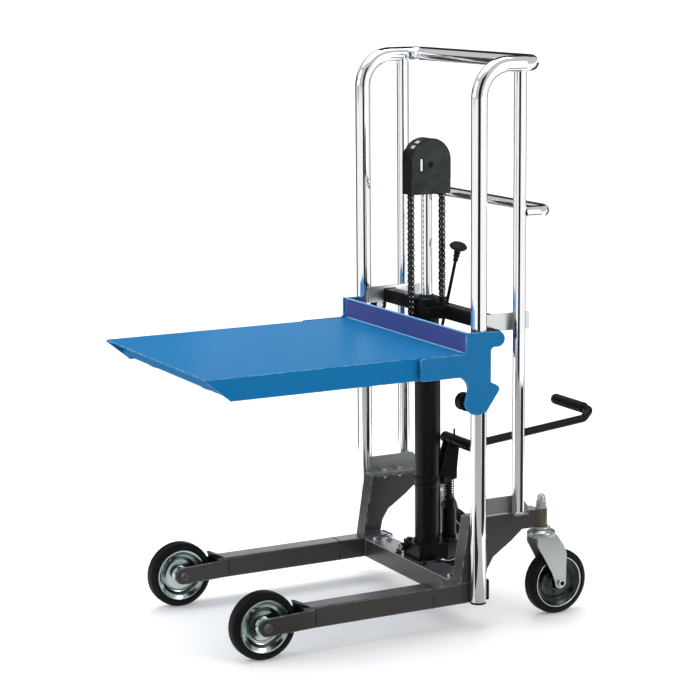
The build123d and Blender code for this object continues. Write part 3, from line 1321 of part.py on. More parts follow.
with BuildPart() as valve_arm:
    with BuildSketch(Plane.YZ.offset(-61)):
        with Locations((VALVE_Y, VALVE_Z)):
            Circle(9)
        with Locations((ROD_Y, VALVE_Z)):
            Circle(8)
        make_hull()
        with Locations((VALVE_Y, VALVE_Z)):
            Circle(4 + RUN_FIT, mode=Mode.SUBTRACT)
        with Locations((ROD_Y + 1.4, VALVE_Z)):
            SlotCenterToCenter(4, 2 * (VALVE_PIN_R + SLOT_PLAY), mode=Mode.SUBTRACT)
    extrude(amount=4.5)

leg_arm_right.part.label = "leg_arm_right"
export_step(leg_arm_right.part, "parts/leg_arm_right.step")
leg_arm_left.part.label = "leg_arm_left"
export_step(leg_arm_left.part, "parts/leg_arm_left.step")
base_frame.part.label = "base_frame"
export_step(base_frame.part, "parts/base_frame.step")
gusset_right.part.label = "gusset_right"
export_step(gusset_right.part, "parts/gusset_right.step")
gusset_left.part.label = "gusset_left"
export_step(gusset_left.part, "parts/gusset_left.step")
mast_loop.part.label = "mast_loop"
export_step(mast_loop.part, "parts/mast_loop.step")
rear_posts.part.label = "rear_posts"
export_step(rear_posts.part, "parts/rear_posts.step")
rear_handle.part.label = "rear_handle"
export_step(rear_handle.part, "parts/rear_handle.step")
lower_links.part.label = "lower_links"
export_step(lower_links.part, "parts/lower_links.step")
upper_links.part.label = "upper_links"
export_step(upper_links.part, "parts/upper_links.step")
upper_crossbeam.part.label = "upper_crossbeam"
export_step(upper_crossbeam.part, "parts/upper_crossbeam.step")
cylinder_barrel.part.label = "cylinder_barrel"
export_step(cylinder_barrel.part, "parts/cylinder_barrel.step")
cylinder_head.part.label = "cylinder_head"
export_step(cylinder_head.part, "parts/cylinder_head.step")
pump_block.part.label = "pump_block"
export_step(pump_block.part, "parts/pump_block.step")
pump_barrel.part.label = "pump_barrel"
export_step(pump_barrel.part, "parts/pump_barrel.step")
lever_bracket.part.label = "lever_bracket"
export_step(lever_bracket.part, "parts/lever_bracket.step")
castor_stems.part.label = "castor_stems"
export_step(castor_stems.part, "parts/castor_stems.step")
front_fork_right.part.label = "front_fork_right"
export_step(front_fork_right.part, "parts/front_fork_right.step")
front_fork_left.part.label = "front_fork_left"
export_step(front_fork_left.part, "parts/front_fork_left.step")
front_axles.part.label = "front_axles"
export_step(front_axles.part, "parts/front_axles.step")
front_rim_right.part.label = "front_rim_right"
export_step(front_rim_right.part, "parts/front_rim_right.step")
front_tyre_right.part.label = "front_tyre_right"
export_step(front_tyre_right.part, "parts/front_tyre_right.step")
front_rim_left.part.label = "front_rim_left"
export_step(front_rim_left.part, "parts/front_rim_left.step")
front_tyre_left.part.label = "front_tyre_left"
export_step(front_tyre_left.part, "parts/front_tyre_left.step")
castor_fork_right.part.label = "castor_fork_right"
export_step(castor_fork_right.part, "parts/castor_fork_right.step")
castor_axle_right.part.label = "castor_axle_right"
export_step(castor_axle_right.part, "parts/castor_axle_right.step")
castor_rim_right.part.label = "castor_rim_right"
export_step(castor_rim_right.part, "parts/castor_rim_right.step")
castor_tyre_right.part.label = "castor_tyre_right"
export_step(castor_tyre_right.part, "parts/castor_tyre_right.step")
castor_fork_left.part.label = "castor_fork_left"
export_step(castor_fork_left.part, "parts/castor_fork_left.step")
castor_axle_left.part.label = "castor_axle_left"
export_step(castor_axle_left.part, "parts/castor_axle_left.step")
castor_rim_left.part.label = "castor_rim_left"
export_step(castor_rim_left.part, "parts/castor_rim_left.step")
castor_tyre_left.part.label = "castor_tyre_left"
export_step(castor_tyre_left.part, "parts/castor_tyre_left.step")
tube_plugs.part.label = "tube_plugs"
export_step(tube_plugs.part, "parts/tube_plugs.step")
base_bolts.part.label = "base_bolts"
export_step(base_bolts.part, "parts/base_bolts.step")
piston_rod.part.label = "piston_rod"
export_step(piston_rod.part, "parts/piston_rod.step")
pulley_fork.part.label = "pulley_fork"
export_step(pulley_fork.part, "parts/pulley_fork.step")
chain_pulley.part.label = "chain_pulley"
export_step(chain_pulley.part, "parts/chain_pulley.step")
pulley_cover.part.label = "pulley_cover"
export_step(pulley_cover.part, "parts/pulley_cover.step")
chain_bend.part.label = "chain_bend"
export_step(chain_bend.part, "parts/chain_bend.step")
chain_front_run.part.label = "chain_front_run"
export_step(chain_front_run.part, "parts/chain_front_run.step")
chain_rear_run.part.label = "chain_rear_run"
export_step(chain_rear_run.part, "parts/chain_rear_run.step")
platform_deck.part.label = "platform_deck"
export_step(platform_deck.part, "parts/platform_deck.step")
back_flange.part.label = "back_flange"
export_step(back_flange.part, "parts/back_flange.step")
platform_beams.part.label = "platform_beams"
export_step(platform_beams.part, "parts/platform_beams.step")
beam_plugs.part.label = "beam_plugs"
export_step(beam_plugs.part, "parts/beam_plugs.step")
side_plate_right.part.label = "side_plate_right"
export_step(side_plate_right.part, "parts/side_plate_right.step")
side_plate_left.part.label = "side_plate_left"
export_step(side_plate_left.part, "parts/side_plate_left.step")
roller_axles.part.label = "roller_axles"
export_step(roller_axles.part, "parts/roller_axles.step")
roller_high_right.part.label = "roller_high_right"
export_step(roller_high_right.part, "parts/roller_high_right.step")
roller_high_left.part.label = "roller_high_left"
export_step(roller_high_left.part, "parts/roller_high_left.step")
roller_low_right.part.label = "roller_low_right"
export_step(roller_low_right.part, "parts/roller_low_right.step")
roller_low_left.part.label = "roller_low_left"
export_step(roller_low_left.part, "parts/roller_low_left.step")
chain_lug.part.label = "chain_lug"
export_step(chain_lug.part, "parts/chain_lug.step")
pedal_lever.part.label = "pedal_lever"
export_step(pedal_lever.part, "parts/pedal_lever.step")
pedal_grip.part.label = "pedal_grip"
export_step(pedal_grip.part, "parts/pedal_grip.step")
pump_plunger.part.label = "pump_plunger"
export_step(pump_plunger.part, "parts/pump_plunger.step")
return_spring.part.label = "return_spring"
export_step(return_spring.part, "parts/return_spring.step")
release_rod.part.label = "release_rod"
export_step(release_rod.part, "parts/release_rod.step")
valve_arm.part.label = "valve_arm"
export_step(valve_arm.part, "parts/valve_arm.step")
release_handle.part.label = "release_knob"
export_step(release_handle.part, "parts/release_knob.step")
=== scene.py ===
import math

import bpy
import numpy as np
from mathutils import Matrix, Vector


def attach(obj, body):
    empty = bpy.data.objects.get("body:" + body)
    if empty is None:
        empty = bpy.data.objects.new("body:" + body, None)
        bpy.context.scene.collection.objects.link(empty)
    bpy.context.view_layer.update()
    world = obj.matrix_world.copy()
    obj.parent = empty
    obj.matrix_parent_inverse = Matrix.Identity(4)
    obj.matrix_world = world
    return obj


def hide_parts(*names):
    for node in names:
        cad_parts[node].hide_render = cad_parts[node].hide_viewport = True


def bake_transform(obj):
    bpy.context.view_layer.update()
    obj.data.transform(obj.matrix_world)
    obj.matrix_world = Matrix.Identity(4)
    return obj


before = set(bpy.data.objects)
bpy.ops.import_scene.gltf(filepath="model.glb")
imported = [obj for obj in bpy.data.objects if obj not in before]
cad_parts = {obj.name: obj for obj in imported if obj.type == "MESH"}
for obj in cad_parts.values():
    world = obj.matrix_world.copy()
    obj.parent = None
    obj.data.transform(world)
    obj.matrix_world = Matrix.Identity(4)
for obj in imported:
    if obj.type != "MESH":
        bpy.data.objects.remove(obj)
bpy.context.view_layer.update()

# Studio: a pale floor that curves up into a backdrop, soft lamps, and the camera.
# None of it is part of the lift table. The camera stands to the right of the front,
# 5.25 m away, and looks ten degrees down through a long lens.
MAST_Y = 0.1155
FLOOR_HALF = 30.0
BACKDROP_START, BACKDROP_RADIUS, BACKDROP_TOP = 7.5, 2.4, 3.2
VIEW_TURN, CAMERA_DOWN, CAMERA_ROLL = 62.54, 10.31, -0.46
CAMERA_DISTANCE, CAMERA_ASIDE, CAMERA_HEIGHT = 5.25, -0.168, 1.585
CAMERA_LENS, CAMERA_SENSOR = 112.47, 36.0
PAPER_TONE = (0.90, 0.93)
GLOW_REACH, GLOW = (1.5, 6.0), (0.16, 0.50)
CREASE = 32.0


def quads(rows, cols, wrap_rows=False, wrap_cols=False):
    """Four-cornered faces of a grid of points kept row by row; wrap joins last to first."""
    row = np.arange(rows if wrap_rows else rows - 1)
    col = np.arange(cols if wrap_cols else cols - 1)
    row, col = (a.ravel() for a in np.meshgrid(row, col, indexing="ij"))
    here, below, beside = row * cols, (row + 1) % rows * cols, (col + 1) % cols
    return np.stack([here + col, below + col, below + beside, here + beside], 1)


def new_mesh(name, points, faces, crease=CREASE):
    """Puts points and faces into a smooth mesh whose edges sharper than crease stay sharp."""
    mesh = bpy.data.meshes.new(name)
    mesh.from_pydata(np.asarray(points, float), [], [list(map(int, f)) for f in faces])
    mesh.validate()
    mesh.polygons.foreach_set("use_smooth", np.ones(len(mesh.polygons), bool))
    mesh.set_sharp_from_angle(angle=math.radians(crease))
    thing = bpy.data.objects.new(name, mesh)
    bpy.context.scene.collection.objects.link(thing)
    return thing


def node_material(name):
    """A new material with its node tree and its Principled shader."""
    material = bpy.data.materials.new(name)
    material.use_nodes = True
    tree = material.node_tree
    return material, tree, next(n for n in tree.nodes if n.type == "BSDF_PRINCIPLED")


def plug(tree, node, inputs):
    """Links each input that is given a socket and sets each that is given a value."""
    for key, value in dict(inputs).items():
        if isinstance(value, bpy.types.NodeSocket):
            tree.links.new(value, node.inputs[key])
        else:
            node.inputs[key].default_value = value


def add_node(tree, kind, inputs=(), out=0, **settings):
    """Adds a shader node of one kind, sets and plugs it, and gives one of its outputs."""
    node = tree.nodes.new("ShaderNode" + kind)
    for key, value in settings.items():
        setattr(node, key, value)
    plug(tree, node, inputs)
    return node.outputs[out]


def spread(tree, value, start=(0, 1), end=(0, 1)):
    """A value carried from one range into another and held inside it."""
    keys = ("Value", "From Min", "From Max", "To Min", "To Max")
    return add_node(tree, "MapRange", zip(keys, (value, *start, *end)))


def backdrop():
    """A strip that lies flat, then follows a quarter circle up and stands as a wall."""
    bend = np.linspace(0, math.pi / 2, 24)
    curve = BACKDROP_START + BACKDROP_RADIUS * np.sin(bend)
    along = np.concatenate([[-FLOOR_HALF], curve, [BACKDROP_START + BACKDROP_RADIUS]])
    up = np.concatenate([[0], BACKDROP_RADIUS * (1 - np.cos(bend)), [BACKDROP_TOP]])
    turn = math.radians(VIEW_TURN)
    forward = np.array([-math.sin(turn), math.cos(turn)])
    right = np.array([math.cos(turn), math.sin(turn)])
    edges = np.array([-FLOOR_HALF, FLOOR_HALF])
    flat = along[:, None, None] * forward + edges[None, :, None] * right
    height = np.broadcast_to(up[:, None, None], (len(up), 2, 1))
    points = np.concatenate([flat, height], 2).reshape(-1, 3)
    return new_mesh("studio_floor", points, quads(len(up), 2)[:, ::-1])


floor = backdrop()
paper, tree, shader = node_material("studio_paper")
paper_noise = add_node(tree, "TexNoise", {"Scale": 3.0, "Detail": 2.0})
floor_place = add_node(tree, "TexCoord", out="Object")
floor_reach = add_node(tree, "VectorMath", {0: floor_place}, "Value", operation="LENGTH")
plug(tree, shader, {
    "Base Color": spread(tree, paper_noise, end=PAPER_TONE),
    "Roughness": 0.9,
    "Specular IOR Level": 0.1,
    "Emission Color": (1, 1, 1, 1),
    "Emission Strength": spread(tree, floor_reach, GLOW_REACH, GLOW),
})
floor.data.materials.append(paper)

turn, down, roll = (math.radians(a) for a in (VIEW_TURN, CAMERA_DOWN, CAMERA_ROLL))
side = Vector((math.cos(turn), math.sin(turn), 0))
ahead = Vector((-math.sin(turn) * math.cos(down), math.cos(turn) * math.cos(down), -math.sin(down)))
above = side.cross(ahead)
side, above = (
    side * math.cos(roll) + above * math.sin(roll),
    above * math.cos(roll) - side * math.sin(roll),
)
camera_data = bpy.data.cameras.new("camera")
camera_data.lens = CAMERA_LENS
camera_data.sensor_width = CAMERA_SENSOR
camera = bpy.data.objects.new("camera", camera_data)
camera.matrix_world = Matrix((side, above, -ahead)).transposed().to_4x4()
camera.location = (
    CAMERA_DISTANCE * math.sin(turn) + CAMERA_ASIDE * math.cos(turn),
    -CAMERA_DISTANCE * math.cos(turn) + CAMERA_ASIDE * math.sin(turn) + MAST_Y,
    CAMERA_HEIGHT,
)
bpy.context.scene.collection.objects.link(camera)
bpy.context.scene.camera = camera


def lamp(name, place, target, size, power):
    """A rectangular soft lamp that faces a point."""
    data = bpy.data.lights.new(name, "AREA")
    data.shape = "RECTANGLE"
    data.size, data.size_y = size
    data.energy = power
    thing = bpy.data.objects.new(name, data)
    thing.location = place
    thing.rotation_mode = "QUATERNION"
    thing.rotation_quaternion = (Vector(target) - Vector(place)).to_track_quat("-Z", "Y")
    thing.visible_camera = False
    bpy.context.scene.collection.objects.link(thing)


lamp("lamp_over", (-0.5, -0.2, 3.6), (0, 0, 0.5), (3.0, 3.0), 92)
lamp("lamp_front", (-0.9, -3.6, 2.4), (0, -0.2, 0.7), (1.6, 2.4), 42)
lamp("lamp_right", (3.4, 1.9, 1.8), (0, 0, 0.7), (1.2, 2.4), 30)
lamp("lamp_behind", (-3.0, 2.4, 2.4), (0, 0, 0.7), (1.6, 2.4), 34)

world = bpy.data.worlds.new("studio_room")
bpy.context.scene.world = world
world.use_nodes = True
room_light = world.node_tree.nodes["Background"]
plug(world.node_tree, room_light, {"Color": (1, 1, 1, 1), "Strength": 0.62})
bpy.context.scene.view_settings.view_transform = "Standard"


def felt(name, points, tone):
    """A dark felt card on four points that only shows in reflections, where it draws the
    dark lines on bright metal."""
    card = new_mesh(name, points, [(0, 1, 2, 3)])
    material, tree, shader = node_material(name + "_felt")
    dull = {"Roughness": 1.0, "Specular IOR Level": 0.0}
    plug(tree, shader, {"Base Color": (tone, tone, tone, 1), **dull})
    card.data.materials.append(material)
    card.visible_camera = card.visible_diffuse = False
    card.visible_shadow = card.visible_transmission = False


def flag(name, bearing, distance, width, low, high, tone):
    """An upright felt card: its middle stands at a distance from the mast, at a bearing
    from the camera's direction, and it reaches half its width to each side."""
    angle = math.radians(VIEW_TURN - 90 + bearing)
    middle = np.array([math.cos(angle), math.sin(angle)]) * distance + (0, MAST_Y)
    reach = np.array([-math.sin(angle), math.cos(angle)]) * width / 2
    corners = ((-1, low), (1, low), (1, high), (-1, high))
    felt(name, [(*(middle + reach * k), z) for k, z in corners], tone)


flag("flag_front", 3, 1.45, 0.80, 0.35, 2.3, 0.012)
flag("flag_low_right", 62, 1.1, 0.95, 0.0, 0.42, 0.02)
flag("flag_back_right", 138, 1.7, 1.3, 0.0, 1.3, 0.05)
flag("flag_back_left", -138, 1.7, 1.3, 0.0, 1.62, 0.05)
for card, (x0, x1), (y0, y1), z, tone in (
    ("flag_floor", (0.36, 0.90), (-1.0, -0.22), 0.002, 0.02),
    ("flag_grey", (0.37, 3.2), (-3.2, 0.45), 0.001, 0.42),
):
    felt(card, [(x0, y0, z), (x1, y0, z), (x1, y1, z), (x0, y1, z)], tone)
high_card = [(-1.95, 0.35, 0.95), (-1.95, 2.2, 0.95), (-0.45, 2.2, 3.15), (-0.45, 0.35, 3.15)]
felt("flag_high", high_card, 0.02)


# Welded frame: square leg tubes, the rear frame, gussets and fork cheeks in cut steel
# plate and tube. It is sprayed with a dark grey-brown paint that has a fine orange
# peel. Its edges are painted light grey, a painted highlight with a little wear, and
# its faces that look up take a bluish tint, thin dust and a painted sky reflection.
PEEL_DEPTH = 0.0006
EASE_TURN = 1.0


def object_place(tree):
    """The place on the piece, in the object's own coordinates."""
    return add_node(tree, "TexCoord", out="Object")


def noise(tree, scale, detail, place=None, rough=0.5):
    """Noise from 0 to 1 over the piece, or over another place."""
    if place is None:
        place = object_place(tree)
    inputs = {"Vector": place, "Scale": scale, "Detail": detail, "Roughness": rough}
    return add_node(tree, "TexNoise", inputs)


def times(tree, one, other, clamp=False):
    """The product of two values, held between 0 and 1 if clamp is set."""
    return add_node(tree, "Math", {0: one, 1: other}, operation="MULTIPLY", use_clamp=clamp)


def face_normal(tree, axis):
    """One part of the face's normal."""
    normal = add_node(tree, "NewGeometry", out="Normal")
    return add_node(tree, "SeparateXYZ", {"Vector": normal}, axis)


def group_of(name, inputs, outputs):
    """A shader node group with named float sockets, and the ends its inside links to."""
    group = bpy.data.node_groups.new(name, "ShaderNodeTree")
    add_socket = group.interface.new_socket
    for label, value in inputs.items():
        add_socket(label, in_out="INPUT", socket_type="NodeSocketFloat").default_value = value
    for label in outputs:
        add_socket(label, in_out="OUTPUT", socket_type="NodeSocketFloat")
    ends = [group.nodes.new("NodeGroup" + end) for end in ("Input", "Output")]
    return group, ends[0].outputs, ends[1]


def edge_highlight_and_wear_group():
    """A mask that is 1 where a rounded normal leaves the face's own normal, broken by noise. It
    marks edges for wear and for a painted highlight.
    """
    inputs = {"Radius": 0.002, "Amount": 0.6, "Break Up": 60.0}
    group, given, result = group_of("edge_highlight_and_wear", inputs, ["Mask"])
    rounded = add_node(group, "Bevel", {"Radius": given["Radius"]}, samples=4)
    plain = add_node(group, "NewGeometry", out="Normal")
    both = {0: rounded, 1: plain}
    likeness = add_node(group, "VectorMath", both, "Value", operation="DOT_PRODUCT")
    edge = spread(group, likeness, (0.995, 0.86))
    broken = spread(group, noise(group, given["Break Up"], 3.0), (0.38, 0.62))
    worn_and_lit = times(group, edge, broken)
    plug(group, result, {"Mask": times(group, worn_and_lit, given["Amount"], True)})
    return group


def fine_grain_group():
    """Two noises: a fine one as height for orange peel or texture, a broad one as slow tone."""
    inputs = {"Fine Scale": 400.0, "Broad Scale": 6.0}
    group, given, result = group_of("fine_grain", inputs, ["Height", "Tone"])
    fine = noise(group, given["Fine Scale"], 2.0)
    broad = noise(group, given["Broad Scale"], 4.0, rough=0.6)
    plug(group, result, {"Height": fine, "Tone": broad})
    return group


def dust_and_sheen_group():
    """A mask of faces that look up, thinned by noise: thin dust, and in the frame paint also a
    painted sky reflection.
    """
    inputs = {"Amount": 0.2, "Patch Scale": 14.0}
    group, given, result = group_of("dust_and_sheen", inputs, ["Mask"])
    upward = spread(group, face_normal(group, "Z"), (0.55, 0.95))
    patches = times(group, upward, noise(group, given["Patch Scale"], 5.0))
    plug(group, result, {"Mask": times(group, patches, given["Amount"], True)})
    return group


EDGE_HIGHLIGHT_AND_WEAR = edge_highlight_and_wear_group()
FINE_GRAIN = fine_grain_group()
DUST_AND_SHEEN = dust_and_sheen_group()


def use_group(tree, group, *values):
    """A node group put into a material with its inputs' values in order; its outputs."""
    node = tree.nodes.new("ShaderNodeGroup")
    node.node_tree = group
    for socket, value in zip(node.inputs, values):
        socket.default_value = value
    return node.outputs


def mixed(tree, share, first, second):
    """A colour between two, by a share from 0 to 1."""
    is_socket = [isinstance(colour, bpy.types.NodeSocket) for colour in (first, second)]
    first = first if is_socket[0] else (*first, 1)
    second = second if is_socket[1] else (*second, 1)
    return add_node(tree, "Mix", {0: share, 6: first, 7: second}, 2, data_type="RGBA")


def bump(tree, height, strength, depth):
    """A normal that follows a height."""
    return add_node(tree, "Bump", {"Height": height, "Strength": strength, "Distance": depth})


def coated_steel(
    name, dark, light, worn_and_lit, rough, peel,
    metallic=0.0, coat=0.0, coat_rough=0.1, wear_and_highlight=0.5, wear_and_highlight_radius=0.0015,
    dust_and_sheen_amount=0.15, peel_scale=380.0, shine=0.5, dust_and_sheen_colour=(0.42, 0.41, 0.39),
):
    """Paint or plating: slow tone between two colours, lighter edges for wear and a painted
    highlight, a tint on faces that look up for thin dust and a painted sheen, and a fine bump.
    """
    material, tree, shader = node_material(name)
    grain = use_group(tree, FINE_GRAIN, peel_scale, 5.0)
    edge = use_group(tree, EDGE_HIGHLIGHT_AND_WEAR, wear_and_highlight_radius, wear_and_highlight, 70.0)["Mask"]
    dust_and_sheen_mask = use_group(tree, DUST_AND_SHEEN, dust_and_sheen_amount, 11.0)["Mask"]
    colour = mixed(tree, grain["Tone"], dark, light)
    colour = mixed(tree, dust_and_sheen_mask, colour, dust_and_sheen_colour)
    plug(tree, shader, {
        "Base Color": mixed(tree, edge, colour, worn_and_lit),
        "Roughness": spread(tree, grain["Tone"], end=rough),
        "Metallic": metallic,
        "Coat Weight": coat,
        "Coat Roughness": coat_rough,
        "Specular IOR Level": shine,
        "Normal": bump(tree, grain["Height"], peel, PEEL_DEPTH),
    })
    return material


# Light grey edges: a painted highlight with a little wear. Bluish tint on faces that look up: thin
# dust and a painted sky reflection.
FRAME_PAINT = coated_steel(
    "frame_paint_coat", (0.026, 0.023, 0.021), (0.044, 0.039, 0.036), (0.40, 0.40, 0.41),
    (0.26, 0.40), 0.22, coat=0.18, coat_rough=0.14, wear_and_highlight=1.0, wear_and_highlight_radius=0.0034,
    dust_and_sheen_amount=0.42, shine=0.35, dust_and_sheen_colour=(0.30, 0.30, 0.37),
)


def finish_nodes(material, *nodes, ease=0.0):
    """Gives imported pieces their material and, if ease is set, eased edges."""
    for node in nodes:
        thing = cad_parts[node]
        thing.data.materials.clear()
        thing.data.materials.append(material)
        plain = np.zeros(len(thing.data.polygons), np.int32)
        thing.data.polygons.foreach_set("material_index", plain)
        if not ease:
            continue
        weld = thing.modifiers.new("joined", "WELD")
        weld.merge_threshold = 0.00001
        flat = thing.modifiers.new("flat", "DECIMATE")
        flat.decimate_type = "DISSOLVE"
        flat.angle_limit = math.radians(EASE_TURN)
        bevel = thing.modifiers.new("eased", "BEVEL")
        bevel.width = ease
        bevel.segments = 2
        bevel.limit_method = "ANGLE"
        bevel.angle_limit = math.radians(CREASE)
        bevel.use_clamp_overlap = True
        bevel.miter_outer = "MITER_ARC"
        bevel.harden_normals = True


finish_nodes(
    FRAME_PAINT, "leg_arm_right", "leg_arm_left", "base_frame", "gusset_right", "gusset_left",
    "front_fork_right", "front_fork_left",
)


# Weld beads of the frame: thin rows of scalloped metal where the plates and tubes
# meet, laid by hand before painting, so they carry the same dark paint.
BEAD_PITCH = 0.0032
LEG_IN, LEG_OUT, LEG_TOP = 0.215, 0.265, 0.110
CROSS_FRONT, CROSS_REAR, CROSS_TOP = MAST_Y - 0.037, MAST_Y + 0.031, 0.106
CHEEK_FRONT = MAST_Y - 0.450 + 0.026


def eased(points, radii, steps=10, closed=False):
    """A line through the points whose corners become arcs. Each arc starts and ends
    radius over tan of half the corner's angle away from the corner."""
    points = np.asarray(points, float)
    radii = np.broadcast_to(radii, len(points))
    runs = []
    for i, corner in enumerate(points):
        if radii[i] == 0 or (not closed and i in (0, len(points) - 1)):
            runs.append(corner[None])
            continue
        before, after = points[i - 1] - corner, points[(i + 1) % len(points)] - corner
        lengths = np.linalg.norm(before), np.linalg.norm(after)
        before, after = before / lengths[0], after / lengths[1]
        angle = math.acos(max(-1.0, min(1.0, float(before @ after))))
        if angle > math.pi - 0.001:
            runs.append(corner[None])
            continue
        reach = min(radii[i] / math.tan(angle / 2), 0.49 * lengths[0], 0.49 * lengths[1])
        middle = (before + after) / np.linalg.norm(before + after)
        centre = corner + middle * reach / math.cos(angle / 2)
        first, last = corner + before * reach - centre, corner + after * reach - centre
        sweep = math.pi - angle
        t = np.linspace(0, 1, steps + 1)[:, None]
        arc = first * np.sin((1 - t) * sweep) + last * np.sin(t * sweep)
        runs.append(centre + arc / math.sin(sweep))
    return np.concatenate(runs)


def mirrored(points):
    """The same points on the other side of the object."""
    return np.asarray(points, float) * (-1, 1, 1)


def rings_on(path, radius, sides=32, spare=(0.41, 0.53, 0.74)):
    """Rings square to a path: path + radius * (cos a * one side + sin a * the other)."""
    path = np.asarray(path, float)
    along = np.gradient(path, axis=0)
    along /= np.linalg.norm(along, axis=1)[:, None]
    one = np.cross(along, spare)
    one /= np.linalg.norm(one, axis=1)[:, None]
    other = np.cross(along, one)
    a = np.linspace(0, 2 * math.pi, sides, endpoint=False)[None, :, None]
    radius = np.broadcast_to(radius, len(path))[:, None, None]
    return path[:, None] + radius * (np.cos(a) * one[:, None] + np.sin(a) * other[:, None])


def capped(rings):
    """A solid bar from its rings: the first and last ring close on a middle point."""
    rows, sides = rings.shape[:2]
    points = np.concatenate([rings.reshape(-1, 3), rings[:1].mean(1), rings[-1:].mean(1)])
    a = np.arange(sides)
    b = (a + 1) % sides
    start, end, last = rows * sides, rows * sides + 1, (rows - 1) * sides
    low = np.stack([np.full(sides, start), a, b], 1)
    high = np.stack([np.full(sides, end), last + b, last + a], 1)
    return points, [quads(rows, sides, wrap_cols=True), low, high]


def looped(rings):
    """A ring-shaped or hollow solid from its rings: the last ring joins the first."""
    rows, sides = rings.shape[:2]
    return rings.reshape(-1, 3), [quads(rows, sides, True, True)]


def signed_volume(points, faces):
    """Six times the volume: the sum of a . (b x c) over the triangles of each face."""
    total = 0.0
    for group in faces:
        corners = [points[group[:, k]] for k in range(group.shape[1])]
        for k in range(1, len(corners) - 1):
            total += np.einsum("ij,ij->", corners[0], np.cross(corners[k], corners[k + 1]))
    return total


def piece(name, solids, material, body, stands_for=(), crease=CREASE):
    """One object from closed surfaces, each turned to face out, riding on a body."""
    points, faces, count = [], [], 0
    for solid_points, solid_faces in solids:
        solid_points = np.asarray(solid_points, float)
        out = signed_volume(solid_points, solid_faces) > 0
        for group in solid_faces:
            faces += [face if out else face[::-1] for face in (group + count).tolist()]
        points.append(solid_points)
        count += len(solid_points)
    thing = new_mesh(name, np.concatenate(points), faces, crease)
    thing.data.materials.append(material)
    if stands_for:
        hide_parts(*stands_for)
    if body:
        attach(thing, body)
    return thing


def both_sides(solids):
    """Solids and their mirror images."""
    return solids + [(mirrored(points), faces) for points, faces in solids]


def weld_bead(corners, radius):
    """A bead along a line: its radius swells and falls by a fifth once each pitch."""
    corners = np.asarray(corners, float)
    length = np.linalg.norm(np.diff(corners, axis=0), axis=1)
    travel = np.concatenate([[0], np.cumsum(length)])
    s = np.linspace(0, travel[-1], max(8, int(travel[-1] / BEAD_PITCH * 6)))
    path = np.stack([np.interp(s, travel, corners[:, k]) for k in range(3)], 1)
    swell = radius * (0.88 + 0.2 * np.abs(np.sin(s * math.pi / BEAD_PITCH)))
    swell[[0, -1]] *= 0.4
    return capped(rings_on(path, swell, 10))


cross_corner = (LEG_IN, CROSS_FRONT, CROSS_TOP)
frame_beads = [
    weld_bead([(LEG_IN, CROSS_FRONT, 0.064), cross_corner], 0.0022),
    weld_bead([cross_corner, (LEG_IN, CROSS_REAR, CROSS_TOP)], 0.0022),
    weld_bead([(0.260, CROSS_FRONT + 0.007, LEG_TOP), (0.260, CROSS_REAR, LEG_TOP)], 0.0020),
    weld_bead([(0.225, CROSS_FRONT, LEG_TOP), (0.262, CROSS_FRONT, LEG_TOP)], 0.0020),
]
for leg_side in (LEG_OUT, LEG_IN):
    cheek_bead = [(leg_side, CHEEK_FRONT, 0.065), (leg_side, CHEEK_FRONT, 0.104)]
    frame_beads.append(weld_bead(cheek_bead, 0.0016))
piece("frame_welds", both_sides(frame_beads), FRAME_PAINT, "base")


# Mast: one 38 mm steel tube, bent twice each side into a loop and chromed, with two
# 30 mm posts behind it and a 28 mm push handle between the posts.
TUBE_X, TUBE_R, TUBE_WALL = 0.284, 0.019, 0.002
MAST_TOP, MAST_FOOT, MAST_BACK = 1.331, 0.068, MAST_Y + 0.156
POST_X, POST_Y, POST_R, POST_FOOT = 0.280, MAST_Y + 0.112, 0.015, 0.270
HANDLE_Z, HANDLE_R, HANDLE_BACK = 0.987, 0.014, MAST_Y + 0.191
SMUT = (0.20, 0.20, 0.19)


def metal(name, first, second, rough, tone_scale=30.0, brushed=None, smut=0.0):
    """Bare or plated metal: slow change between two tones, a little smut, lines if brushed."""
    material, tree, shader = node_material(name)
    slow = tone = use_group(tree, FINE_GRAIN, 900.0, tone_scale)["Tone"]
    if brushed:
        stretched = {"Vector": object_place(tree), "Scale": brushed}
        tone = noise(tree, 1.0, 3.0, add_node(tree, "Mapping", stretched))
    colour = mixed(tree, tone, first, second)
    if smut:
        colour = mixed(tree, spread(tree, slow, (0.5, 0.8), (0, smut)), colour, SMUT)
    gloss = spread(tree, tone, (0.3, 0.7), rough)
    plug(tree, shader, {"Base Color": colour, "Roughness": gloss, "Metallic": 1.0})
    return material


MAST_CHROME = metal(
    "chrome_plate", (0.80, 0.81, 0.83), (0.86, 0.87, 0.88), (0.035, 0.075), tone_scale=14.0
)


def tube(path, radius, wall, sides=40):
    """A hollow tube: the rings of its outside, then those of its bore back to the start."""
    outer = rings_on(path, radius, sides)
    inner = rings_on(path, radius - wall, sides)[::-1]
    return looped(np.concatenate([outer, inner]))


def around(x, y, radius, z, turn):
    """Points x + radius cos turn, y + radius sin turn, at one height or a height each."""
    height = np.broadcast_to(z, len(turn))
    return np.column_stack([x + radius * np.cos(turn), y + radius * np.sin(turn), height])


def saddle(radius, turn):
    """The loop's underside over a circle about a post: top less the root of r2 - x2."""
    return MAST_TOP - np.sqrt(TUBE_R**2 - (POST_X + radius * np.cos(turn) - TUBE_X) ** 2)


mast_places = ((MAST_BACK, MAST_TOP), (MAST_Y, MAST_TOP), (MAST_Y, MAST_FOOT))
mast_corners = [(TUBE_X, y, z) for y, z in mast_places]
mast_line = eased(
    [*mirrored(mast_corners)[::-1], *mast_corners], (0, 0.080, 0.042, 0.042, 0.080, 0), 20
)
mast_loop = [tube(mast_line, TUBE_R, TUBE_WALL, 56)]
piece("mast_tube", mast_loop, MAST_CHROME, "base", ["mast_loop"])

